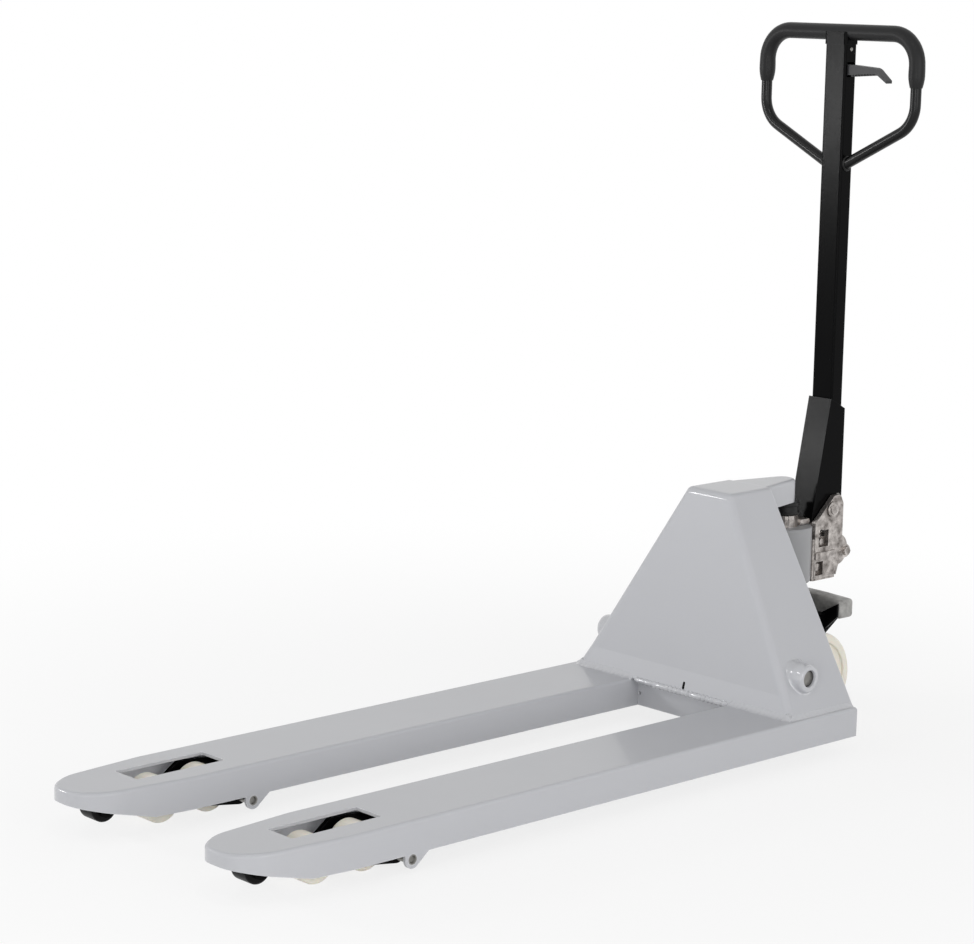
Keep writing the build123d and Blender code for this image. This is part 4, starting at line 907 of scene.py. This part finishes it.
@dataclass
class Body:
    """Leaning body, the head over the ram, the rocker's bosses and the welds round them."""

    shop: Workshop
    rounding: float = 0.0016
    head_rounding: float = 0.005
    boss_rounding: float = 0.0025
    head_bead: float = 0.004
    head_bead_foot: float = 0.004
    head_bead_top: float = 0.006
    foot_rise: float = 0.011
    foot_run: float = 0.013
    side_rise: float = 0.009
    side_run: float = 0.0045
    skirt_lean: float = 0.25
    heel_drop: float = 0.014
    heel_bead: float = 0.0058
    edge_inset: float = 0.0008
    heel_fullness: float = 0.5
    foot_fullness: float = 0.2
    crease: float = 0.004
    bead_pitch: float = 0.010
    slot_place: tuple[float, float] = (-0.006, 0.090)
    slot_half: tuple[float, float] = (0.0031, 0.0072)
    slot_sink: float = 0.0012
    lip: float = 0.0014
    boot_gap: float = 0.0001
    top_half: float = 0.05
    boss_rim: float = 0.0004
    mound_sides: int = 56
    mound: Profile = (
        (0.0310, -0.05), (0.0292, -0.01), (0.0276, 0.04), (0.0263, 0.14), (0.0253, 0.32), (0.0245, 0.55),
        (0.0237, 0.76), (0.0226, 0.91), (0.0210, 0.98), (0.0190, 1.0), (0.0160, 1.0), (0.0149, 0.985),
        (0.0145, 0.95), (0.0145, 0.2),
    )
    shaft_end: Profile = (
        (0.0, 0.0004), (0.0124, 0.0004), (0.0134, -0.0004), (0.0134, -0.0014), (0.0, -0.0014),
    )

    def build(self) -> None:
        """Make the pieces."""
        self.shop.skin("body_shell", self.rounding, cross_rounding=self.crease)
        self.shop.skin("head_block", self.head_rounding, segments=4)
        self.shop.skin("rocker_bosses", self.boss_rounding, segments=3)
        self.shop.dress("lift_ram", "rocker_shaft", "rocker_pins")
        self.ram_boot()
        self.slot_shade()
        self.foot_welds()
        self.head_welds()
        self.boss_mounds()
        self.shaft_ends()

    def ram_boot(self) -> None:
        """Replace the ram's seat ring with a lipped rubber ring."""
        low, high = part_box("ram_seat")
        ram_low, ram_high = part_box("lift_ram")
        radius = (high.x - low.x) / 2
        bore = (ram_high.x - ram_low.x) / 2 + self.boot_gap
        height, lip, groove = high.z - low.z, self.lip, radius - self.lip
        profile = (
            (bore, 0.0), (groove, 0.0), (radius, lip), (radius, 3 * lip), (groove, 4 * lip),
            (groove, height - 5 * lip), (radius, height - 4 * lip), (radius, height - lip), (groove, height),
            (bore, height), (bore, 0.0),
        )
        boot = lathe(profile, Vector(((low.x + high.x) / 2, 0.0, low.z)), Z_AXIS)
        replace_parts(self.shop.add("ram_boot", boot, Finish.RUBBER, "chassis"), "ram_seat")

    def foot_welds(self) -> None:
        """Add the hollow welds along the body's foot, on the forks and on the heel beam."""
        low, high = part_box("body_shell")
        fork_low, fork_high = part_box("right_fork")
        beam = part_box("cross_member")[0].x
        seat, front, inner, half = low.z, low.x, fork_low.y, high.y
        mirror = Vector((1.0, -1.0, 1.0))
        under = Vector((front - beam + self.edge_inset, 0.0, 0.0))
        heel = Vector((beam, inner, seat))
        welds = {"heel": CornerWeld(heel * mirror, heel, under, -Z_AXIS * self.heel_drop, self.heel_fullness)}
        rise = Vector((self.skirt_lean, 0.0, 1.0)) * self.foot_rise
        run = Vector((-self.foot_run, 0.0, fork_high.z - seat))
        for side_name, side in SIDES.items():
            start = Vector((front, side * inner, seat))
            corner = Vector((front, side * half, seat))
            rear = Vector((high.x, side * half, seat))
            lean = Vector((0.0, -side * self.panel_slope(), 1.0)) * self.side_rise
            out = Y_AXIS * side * self.side_run
            welds[f"{side_name}_front"] = CornerWeld(start, corner, rise, run, self.foot_fullness)
            welds[f"{side_name}_side"] = CornerWeld(corner, rear, lean, out, self.foot_fullness)
        for name, weld in welds.items():
            self.shop.add(f"{name}_foot_weld", weld.build(), Finish.WELD_PAINT, "chassis")
        edge = Vector((front + self.edge_inset, inner, seat - self.edge_inset))
        chain = bead(edge * mirror, edge, self.heel_bead, self.bead_pitch)
        self.shop.add("heel_edge_weld", chain, Finish.WELD_PAINT, "chassis")

    def slot_shade(self) -> None:
        """Put a dark plate just behind the face of the slot in the skirt, as painted shade inside the slot."""
        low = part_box("body_shell")[0]
        (y, z), (half_width, half_height) = self.slot_place, self.slot_half
        outline = []
        for across, up in ((-1, -1), (1, -1), (1, 1), (-1, 1)):
            height = z + up * half_height
            depth = low.x + self.skirt_lean * (height - low.z) + self.slot_sink
            outline.append(Vector((depth, y + across * half_width, height)))
        dark = plate(outline, X_AXIS * self.slot_sink)
        self.shop.add("skirt_slot_shade", dark, Finish.BLACK_PAINT, "chassis")

    def panel_slope(self) -> float:
        """How far the side panels lean in for each metre of height."""
        low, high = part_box("body_shell")
        return (high.y - self.top_half) / (high.z - low.z)

    def head_welds(self) -> None:
        """Add the beads where the head leaves the body's roof."""
        low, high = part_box("head_block")
        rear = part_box("body_shell")[1].x
        for side_name, side in SIDES.items():
            start = Vector((rear, side * high.y, low.z + self.head_bead_foot))
            end = Vector((rear, side * high.y, high.z - self.head_bead_top))
            weld = bead(start, end, self.head_bead, self.bead_pitch)
            self.shop.add(f"{side_name}_head_weld", weld, Finish.FRAME_PAINT, "chassis")

    def boss_mounds(self) -> None:
        """Add the soft mounds that the bosses form on the leaning side panels."""
        low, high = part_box("rocker_bosses")
        middle = (low + high) / 2
        slope = self.panel_slope()
        panel_y = self.top_half + slope * (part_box("body_shell")[1].z - middle.z)
        rim_y = high.y + self.boss_rim
        centred = Matrix.Translation((-middle.x, 0.0, -middle.z))
        flat = centred.inverted() @ Matrix.Rotation(math.pi / 2, 4, "X")
        for side_name, side in SIDES.items():
            shape = bmesh.new()
            radius_now = self.mound[0][0]
            bmesh.ops.create_circle(
                shape, cap_ends=False, segments=self.mound_sides, radius=radius_now, matrix=flat
            )
            first = rim = shape.edges[:]
            for number, (radius, share) in enumerate(self.mound):
                if number:
                    rim = grow(shape, rim, Vector())
                factor = radius / radius_now
                lean = Matrix.Diagonal((factor, 0.0, factor, 1.0))
                lean[1][2] = -side * (1.0 - share) * slope * factor
                lean[1][3] = side * ((1.0 - share) * panel_y + share * rim_y)
                bmesh.ops.transform(shape, matrix=centred.inverted() @ lean @ centred, verts=ends_of(rim))
                radius_now = radius
            bmesh.ops.bridge_loops(shape, edges=first + rim)
            bmesh.ops.recalc_face_normals(shape, faces=shape.faces)
            self.shop.add(f"{side_name}_boss_mound", shape, Finish.WELD_PAINT, "chassis", bend=70.0)

    def shaft_ends(self) -> None:
        """Add the dished steel ends of the rocker shaft inside the bosses."""
        low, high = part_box("rocker_bosses")
        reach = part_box("rocker_shaft")[1].y
        middle = (low + high) / 2
        for side_name, side in SIDES.items():
            origin = Vector((middle.x, side * reach, middle.z))
            end = lathe(self.shaft_end, origin, Y_AXIS * side, steps=32)
            self.shop.add(f"{side_name}_shaft_end", end, Finish.STEEL, "rocker")


@dataclass
class RollerGear:
    """Load rollers, bogies, roller frames, entry rollers and push rods of both forks."""

    shop: Workshop
    rounding: float = 0.0008

    def build(self) -> None:
        """Make the pieces."""
        for side_name in SIDES:
            for node in ("roller_frame", "bogie_links", "push_rod"):
                self.shop.skin(f"{side_name}_{node}", self.rounding)
            for node in ("front_roller", "rear_roller", "entry_roller", "roller_axles", "swing_pins"):
                self.shop.dress(f"{side_name}_{node}")


@dataclass
class PumpUnit:
    """Hydraulic pump with its casting, reservoir, plugs, plunger and release lever."""

    shop: Workshop
    casting_rounding: float = 0.0028
    small_rounding: float = 0.0006
    bridge_half: float = 0.025
    bridge_height: float = 0.011
    bridge_front: float = 0.016
    bridge_rear: float = 0.003
    bridge_lift: float = 0.0002
    bridge_rounding: float = 0.002
    pin_proud: float = 0.0015
    rib_height: float = 0.013
    rib_proud: float = 0.003
    rib_sink: float = 0.001
    rib_bottom: float = 0.276
    rib_front: float = 0.044
    rib_rear: float = 0.098
    rib_rounding: float = 0.0012
    pocket_bolts: tuple[tuple[float, float, float], ...] = ((0.057, 0.261, 0.0075), (0.066, 0.306, 0.0065))
    pocket_depth: float = 0.011
    bolt_share: float = 0.7
    bolt_sink: float = 0.001
    washer: Profile = (
        (0.0, -0.001), (0.0125, -0.001), (0.0138, 0.0), (0.0138, 0.0016), (0.0128, 0.0024),
        (0.0092, 0.0024), (0.0086, 0.0044), (0.0064, 0.0056), (0.0, 0.0056),
    )
    slot_count: int = 24
    slot_every: int = 3
    slot_depth: float = 0.003
    gland_wall_lean: float = 0.1

    def build(self) -> None:
        """Make the pieces."""
        self.shop.skin("pump_head", self.casting_rounding, segments=3)
        for node in ("valve_plugs", "tiller_pivot_pin", "release_lever"):
            self.shop.skin(node, self.small_rounding)
        self.shop.dress("pump_cylinder", "pump_reservoir", "plunger", "pump_roller", "roller_pin")
        self.spring()
        self.gland()
        self.bridge()
        self.casting_details()

    def spring(self) -> None:
        """Replace the plunger's spring with a copy that has its own mesh and rides on the steer unit."""
        coil = self.shop.add("plunger_coil", self.shop.copy("plunger_spring"), Finish.STEEL, "steer_unit")
        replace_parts(coil, "plunger_spring")
        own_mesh(coil)

    def gland(self) -> None:
        """Replace the gland nut with one that has spanner slots."""
        low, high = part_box("gland_nut")
        middle = (low + high) / 2
        shape = bmesh.new()
        place = Matrix.Translation((middle.x, middle.y, low.z))
        radius = (high.x - low.x) / 2
        bmesh.ops.create_circle(shape, cap_ends=True, segments=self.slot_count, radius=radius, matrix=place)
        thicken(shape, shape.faces[:], Z_AXIS * (high.z - low.z))
        walls = [face for face in shape.faces if abs(face.normal.z) < self.gland_wall_lean]
        walls.sort(key=lambda face: math.atan2(face.normal.y, face.normal.x))
        slots = walls[:: self.slot_every]
        bmesh.ops.inset_individual(shape, faces=slots, thickness=self.slot_depth / 4, depth=-self.slot_depth)
        steep = [edge for edge in shape.edges if edge.calc_face_angle(0.0) > STEEP]
        upper = [edge for edge in steep if min(vert.co.z for vert in edge.verts) > middle.z]
        level = [edge for edge in upper if abs(edge.verts[0].co.z - edge.verts[1].co.z) < SAME_LEVEL]
        soften(shape, level, self.small_rounding)
        nut = self.shop.add("slotted_gland", shape, Finish.ZINC, "steer_unit", bend=20.0)
        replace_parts(nut, "gland_nut")

    def bridge(self) -> None:
        """Add the casting's bridge from the gland to the ears, on top of the reservoir."""
        gland_low, gland_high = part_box("gland_nut")
        front = (gland_low.x + gland_high.x) / 2 + self.bridge_front
        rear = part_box("tiller_base")[0].x - self.bridge_rear
        low = Vector((front, -self.bridge_half, gland_low.z + self.bridge_lift))
        high = Vector((rear, self.bridge_half, gland_low.z + self.bridge_height))
        self.shop.add("pump_bridge", block(low, high, self.bridge_rounding), Finish.ZINC, "steer_unit")

    def casting_details(self) -> None:
        """Add ribs, bolts in the pockets, and washers on the tiller's pivot."""
        ram_low, ram_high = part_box("lift_ram")
        axis_x = (ram_low.x + ram_high.x) / 2
        pin_low, pin_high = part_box("tiller_pivot_pin")
        pin = (pin_low + pin_high) / 2
        face_y = pin_high.y - self.pin_proud
        for side_name, side in SIDES.items():
            out = Y_AXIS * side
            ends = sorted((side * (face_y - self.rib_sink), side * (face_y + self.rib_proud)))
            low = Vector((axis_x + self.rib_front, ends[0], self.rib_bottom))
            high = Vector((axis_x + self.rib_rear, ends[1], self.rib_bottom + self.rib_height))
            pieces = {"casting_rib": block(low, high, self.rib_rounding)}
            for number, (back, height, size) in enumerate(self.pocket_bolts, start=1):
                depth = face_y - self.pocket_depth - self.bolt_sink
                seat = Vector((axis_x + back, side * depth, height))
                bolt = hex_head(seat, out, size, self.pocket_depth * self.bolt_share)
                pieces[f"pocket_bolt_{number}"] = bolt
            spot = Vector((pin.x, side * pin_high.y, pin.z))
            pieces["pivot_washer"] = lathe(self.washer, spot, out, steps=32)
            for name, shape in pieces.items():
                self.shop.add(f"{side_name}_{name}", shape, Finish.ZINC, "steer_unit")


@dataclass
class SteerGear:
    """Yoke, guard, wheels, bearings, axle and thrust collar."""

    shop: Workshop
    yoke_rounding: float = 0.0018
    screw_rounding: float = 0.0005
    guard_corner: float = 0.0065
    guard_pad: float = 0.065
    guard_step: float = 0.007
    guard_flat: float = 0.022
    guard_fall: float = 0.0027
    wheel_rounding: float = 0.0015
    arm_plate: float = 0.0055
    arm_gap: float = 0.0004
    arm_rounding: float = 0.001
    arm_outline: Profile = (
        (0.026, 0.150), (0.052, 0.147), (0.088, 0.181), (0.088, 0.205), (0.042, 0.178), (0.026, 0.174),
    )
    seal: Profile = (
        (0.0175, -0.0005), (0.0175, 0.0004), (0.0185, 0.0007), (0.0208, 0.0007), (0.0218, 0.0004),
        (0.0218, -0.0005), (0.0175, -0.0005),
    )

    def build(self) -> None:
        """Make the pieces."""
        self.shop.skin("steer_yoke", self.yoke_rounding)
        self.guard()
        self.shop.skin("thrust_collar", self.wheel_rounding)
        self.shop.skin("guard_screws", self.screw_rounding)
        for side_name in SIDES:
            self.shop.skin(f"{side_name}_steer_wheel", self.wheel_rounding)
            self.shop.dress(f"{side_name}_wheel_bearings")
        self.shop.dress("steer_axle", "axle_clips", "thrust_bearing")
        self.guard_arms()
        self.bearing_seals()

    def guard(self) -> None:
        """Replace the guard with a cast bar whose outer corners are well rounded."""
        low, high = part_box("rear_guard")
        ledge = low.z + self.guard_step
        right = [
            (self.guard_pad, ledge),
            (self.guard_pad, low.z),
            (high.y, low.z),
            (high.y, high.z - self.guard_fall),
            (self.guard_flat, high.z),
        ]
        outline = [Vector((low.x, y, z)) for y, z in right]
        outline += [Vector((low.x, -y, z)) for y, z in reversed(right)]
        shape = plate(outline, X_AXIS * (high.x - low.x))
        outer = []
        for edge in shape.edges:
            on_pad = all(abs(abs(vert.co.y) - self.guard_pad) < SAME_LEVEL for vert in edge.verts)
            on_ledge = all(abs(vert.co.z - ledge) < SAME_LEVEL for vert in edge.verts)
            if edge.calc_face_angle(0.0) > STEEP and not on_pad and not on_ledge:
                outer.append(edge)
        soften(shape, outer, self.guard_corner, segments=4)
        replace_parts(self.shop.add("cast_guard", shape, Finish.CAST_ALUMINIUM, "steer_unit"), "rear_guard")

    def guard_arms(self) -> None:
        """Add the yoke's raised arms in front of the guard's ends."""
        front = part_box("rear_guard")[0].x - self.arm_gap
        for side_name, side in SIDES.items():
            outline = [Vector((front, side * across, height)) for across, height in self.arm_outline]
            arm = plate(outline, -X_AXIS * self.arm_plate, self.arm_rounding)
            self.shop.add(f"{side_name}_guard_arm", arm, Finish.BLACK_PAINT, "steer_unit")

    def bearing_seals(self) -> None:
        """Add the rubber seals on both sides of each wheel's bearings."""
        for side_name in SIDES:
            low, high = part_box(f"{side_name}_wheel_bearings")
            middle = (low + high) / 2
            for place, y, way in (("low", low.y, -Y_AXIS), ("high", high.y, Y_AXIS)):
                seal = lathe(self.seal, Vector((middle.x, y, middle.z)), way)
                self.shop.add(f"{side_name}_{place}_bearing_seal", seal, Finish.RUBBER, f"{side_name}_wheel")


@dataclass
class Tiller:
    """Folded base, tube, loop handle, grips, lever and rod."""

    shop: Workshop
    base_rounding: float = 0.003
    tube_rounding: float = 0.0008
    cap_rounding: float = 0.0025
    lever_rounding: float = 0.0015
    grip_radius: float = 0.014
    grip_swell: Profile = (
        (0.25, 1.02), (0.45, 1.02), (0.60, 0.99), (0.74, 0.93), (0.86, 0.86), (0.95, 0.80), (0.99, 0.77),
        (1.0, 0.73),
    )
    grip_sides: int = 32
    corner_radius: float = 0.052
    corner_steps: int = 14
    joint_drop: float = 0.232
    joint_slope: float = 0.511
    joint_bead: float = 0.0028
    lever_axis_drop: float = 0.0105
    lever_half: float = 0.0085
    lever_taper: float = 0.075
    lever_taper_start: float = 0.024
    rib_count: int = 8
    rib_pitch: float = 0.0065
    rib_first: float = 0.030
    rib_width: float = 0.003
    rib_drop: float = 0.0032
    rib_sink: float = 0.003
    rib_inset: float = 0.001
    rib_rounding: float = 0.0007
    rivet_drop: float = 0.008
    rivet: Profile = ((0.0, -0.0004), (0.0034, -0.0004), (0.0034, 0.0004), (0.0026, 0.0012), (0.0, 0.0016))

    def build(self) -> None:
        """Make the pieces."""
        self.shop.skin("tiller_base", self.base_rounding, segments=3)
        self.shop.skin("tiller_tube", self.tube_rounding)
        self.shop.skin("handle_cap", self.cap_rounding, segments=3)
        self.shop.skin("control_lever", self.lever_rounding)
        self.shop.dress("handle_loop", "lever_pin", "control_rod")
        for side_name, side in SIDES.items():
            self.grip(side_name, side)
            self.loop_weld(side_name, side)
        self.lever_ribs()
        self.rivets()

    def grip(self, side_name: str, side: float) -> None:
        """Replace a grip with a moulded one that swells along the leg and tapers at its end.

        Args:
            side_name: the grip's side.
            side: its sign along y.
        """
        low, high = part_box(f"{side_name}_grip")
        tube_x = (low.x + high.x) / 2
        bar_z = high.z - self.grip_radius
        inner, outer = sorted((abs(low.y), abs(high.y)))
        leg_y = outer - self.grip_radius
        start = Vector((tube_x, side * inner, bar_z))
        corner = Vector((tube_x, side * (leg_y - self.corner_radius), bar_z - self.corner_radius))
        shape = bmesh.new()
        place = Matrix.Translation(start) @ Matrix.Rotation(math.pi / 2, 4, "X")
        bmesh.ops.create_circle(
            shape, cap_ends=True, segments=self.grip_sides, radius=self.grip_radius, matrix=place
        )
        rim = grow(shape, shape.edges[:], Y_AXIS * side * (abs(corner.y) - inner))
        quarter = -side * math.pi / 2
        bent = bmesh.ops.spin(
            shape, geom=ends_of(rim) + rim, cent=corner, axis=X_AXIS, angle=quarter, steps=self.corner_steps,
            use_merge=False,
        )["geom_last"]
        rim = picked(bent, bmesh.types.BMEdge)
        leg = corner.z - low.z
        centre = Vector((tube_x, side * leg_y, 0.0))
        done, size_now = 0.0, 1.0
        for share, size in self.grip_swell:
            rim = grow(shape, rim, -Z_AXIS * leg * (share - done))
            swell(shape, ends_of(rim), (size / size_now, size / size_now, 1.0), centre)
            done, size_now = share, size
        bmesh.ops.contextual_create(shape, geom=rim)
        bmesh.ops.recalc_face_normals(shape, faces=shape.faces)
        grip = self.shop.add(f"{side_name}_rubber_grip", shape, Finish.RUBBER, "tiller")
        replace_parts(grip, f"{side_name}_grip")

    def loop_weld(self, side_name: str, side: float) -> None:
        """Add the weld round the foot of a leg of the loop.

        Args:
            side_name: the leg's side.
            side: its sign along y.
        """
        tube_low, tube_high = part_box("tiller_tube")
        bar_low, bar_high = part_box("handle_loop")
        bar = (bar_high.x - bar_low.x) / 2
        half = tube_high.y
        height = bar_high.z - bar - self.joint_drop + self.joint_slope * half / 2
        origin = Vector(((tube_low.x + tube_high.x) / 2, side * half, height))
        weld = ring(origin, Y_AXIS, bar, self.joint_bead)
        swell(weld, weld.verts, (1.0, 1.0, math.hypot(1.0, self.joint_slope)), origin)
        self.shop.add(f"{side_name}_loop_weld", weld, Finish.LOOP_PAINT, "tiller")

    def lever_ribs(self) -> None:
        """Add the finger ribs under the control lever."""
        low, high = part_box("control_lever")
        bottom = high.z - self.lever_axis_drop - self.lever_half
        for number in range(self.rib_count):
            along = self.rib_first + number * self.rib_pitch
            under = bottom + self.lever_taper * (along - self.lever_taper_start)
            near = Vector((low.x + self.rib_inset, -along - self.rib_width, under - self.rib_drop))
            far = Vector((high.x - self.rib_inset, -along, under + self.rib_sink))
            rib = block(near, far, self.rib_rounding)
            self.shop.add(f"lever_rib_{number + 1}", rib, Finish.LEVER_PLASTIC, "control_lever")

    def rivets(self) -> None:
        """Add the small rivets beside the top of the tube."""
        pin_low, pin_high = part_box("lever_pin")
        tube_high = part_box("tiller_tube")[1]
        for side_name, side in SIDES.items():
            spot = Vector(((pin_low.x + pin_high.x) / 2, side * tube_high.y, tube_high.z - self.rivet_drop))
            rivet = lathe(self.rivet, spot, Y_AXIS * side, steps=24)
            self.shop.add(f"{side_name}_tube_rivet", rivet, Finish.STEEL, "tiller")


@dataclass(frozen=True)
class Lamp:
    """A square softbox: its name, where it hangs, the length of its sides and its power in watts."""

    name: str
    place: tuple[float, float, float]
    size: float
    power: float

    def hang(self, aim: Vector) -> None:
        """Hang the lamp so that it points at the truck.

        Args:
            aim: the point that it points at.
        """
        light = bpy.data.lights.new(self.name, "AREA")
        light.shape = "SQUARE"
        light.size = self.size
        light.energy = self.power
        lamp = bpy.data.objects.new(self.name, light)
        lamp.location = self.place
        lamp.rotation_euler = (aim - lamp.location).to_track_quat("-Z", "Y").to_euler()
        bpy.context.scene.collection.objects.link(lamp)


@dataclass
class Studio:
    """Pale floor, soft light and the camera at the photograph's angle."""

    camera_place: Vector = field(default_factory=lambda: Vector((-3.03056, -3.15970, 1.30348)))
    camera_right: Vector = field(default_factory=lambda: Vector((0.73962, -0.67283, 0.01614)))
    camera_up: Vector = field(default_factory=lambda: Vector((0.11201, 0.14671, 0.98282)))
    image_width: float = 974.0
    image_height: float = 944.0
    focal_pixels: float = 2773.6
    centre_pixels: tuple[float, float] = (462.64, 483.28)
    sensor: float = 36.0
    sight: float = 60.0
    white: Colour = (1.0, 1.0, 1.0)
    horizon: float = 1.2
    zenith: float = 0.13
    floor_colour: Colour = (0.93, 0.93, 0.93)
    floor_roughness: float = 0.9
    floor_specular: float = 0.1
    floor_white: float = 0.8
    floor_fade: tuple[float, float] = (0.5, 2.2)
    floor_reach: float = 14.0
    aim: Vector = field(default_factory=lambda: Vector((0.1, 0.0, 0.3)))
    lamps: tuple[Lamp, ...] = (
        Lamp("side_softbox", (-0.4, -4.2, 1.35), 2.4, 38.0),
        Lamp("camera_fill", (-3.3, -2.4, 0.8), 1.2, 24.0),
        Lamp("front_softbox", (-1.97, 2.24, 0.94), 0.34, 16.0),
        Lamp("glint_front", (-2.3, 1.05, 2.7), 0.25, 6.0),
        Lamp("glint_high", (-0.94, -1.27, 3.2), 0.25, 6.0),
    )

    def build(self) -> None:
        """Make the stage, the light and the camera."""
        bpy.context.scene.view_settings.view_transform = "Standard"
        self.floor()
        self.world()
        for lamp in self.lamps:
            lamp.hang(self.aim)
        self.camera()

    def floor(self) -> None:
        """Lay the floor, which stays under the wheels when the forks lift."""
        shape = bmesh.new()
        bmesh.ops.create_grid(shape, x_segments=1, y_segments=1, size=self.floor_reach)
        mesh = bpy.data.meshes.new("floor")
        shape.to_mesh(mesh)
        shape.free()
        mesh.materials.append(self.floor_finish())
        floor = bpy.data.objects.new("floor", mesh)
        bpy.context.scene.collection.objects.link(floor)
        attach(floor, "carriage")

    def floor_finish(self) -> bpy.types.Material:
        """Make the floor's material.

        Returns:
            A material that is pale near the truck and white further out.
        """
        material = bpy.data.materials.new("pale_floor")
        material.use_nodes = True
        wiring = Wiring(material.node_tree)
        nodes = material.node_tree.nodes
        shader = nodes["Principled BSDF"]
        wiring.feed(shader.inputs["Base Color"], self.floor_colour)
        wiring.feed(shader.inputs["Roughness"], self.floor_roughness)
        wiring.feed(shader.inputs["Specular IOR Level"], self.floor_specular)
        reach = wiring.node("ShaderNodeVectorMath", {0: wiring.place()}, operation="LENGTH")
        near, far = self.floor_fade
        feeds = {"Value": reach.outputs["Value"], "From Min": near, "From Max": far, "To Min": self.floor_white}
        fade = wiring.node("ShaderNodeMapRange", feeds, interpolation_type="SMOOTHSTEP")
        share = wiring.calc("MULTIPLY", fade.outputs["Result"], wiring.seen_rays())
        white = wiring.node("ShaderNodeEmission").outputs[0]
        blend = wiring.node("ShaderNodeMixShader", {0: share, 1: shader.outputs[0], 2: white})
        wiring.feed(nodes["Material Output"].inputs["Surface"], blend.outputs[0])
        return material

    def world(self) -> None:
        """Light the scene evenly, with a white backdrop for what the camera sees."""
        world = bpy.data.worlds.new("studio")
        bpy.context.scene.world = world
        world.use_nodes = True
        wiring = Wiring(world.node_tree)
        nodes = world.node_tree.nodes
        way = wiring.node("ShaderNodeTexCoord").outputs["Generated"]
        height = wiring.node("ShaderNodeSeparateXYZ", {0: way}).outputs["Z"]
        feeds = {"Value": height, "To Min": self.horizon, "To Max": self.zenith}
        soft = nodes["Background"]
        wiring.feed(soft.inputs["Color"], self.white)
        wiring.feed(soft.inputs["Strength"], wiring.node("ShaderNodeMapRange", feeds).outputs["Result"])
        white = wiring.node("ShaderNodeBackground", {"Color": self.white}).outputs[0]
        blend = wiring.node("ShaderNodeMixShader", {0: wiring.seen_rays(), 1: soft.outputs[0], 2: white})
        wiring.feed(nodes["World Output"].inputs["Surface"], blend.outputs[0])

    def camera(self) -> None:
        """Set the camera where the photograph was taken from."""
        data = bpy.data.cameras.new("camera")
        data.sensor_width = self.sensor
        data.lens = self.focal_pixels * self.sensor / self.image_width
        data.shift_x = (self.image_width / 2 - self.centre_pixels[0]) / self.image_width
        data.shift_y = (self.centre_pixels[1] - self.image_height / 2) / self.image_width
        data.clip_end = self.sight
        camera = bpy.data.objects.new("camera", data)
        back = self.camera_right.cross(self.camera_up)
        turn = Matrix((self.camera_right, self.camera_up, back)).transposed()
        camera.matrix_world = Matrix.Translation(self.camera_place) @ turn.to_4x4()
        bpy.context.scene.collection.objects.link(camera)
        bpy.context.scene.camera = camera


def main() -> None:
    """Build the truck's looks and the studio."""
    logging.basicConfig(level=logging.INFO, format="%(message)s")
    shop = Workshop()
    for assembly in (ForkPair, Body, RollerGear, PumpUnit, SteerGear, Tiller):
        assembly(shop).build()
    Studio().build()


if __name__ == "__main__":
    main()
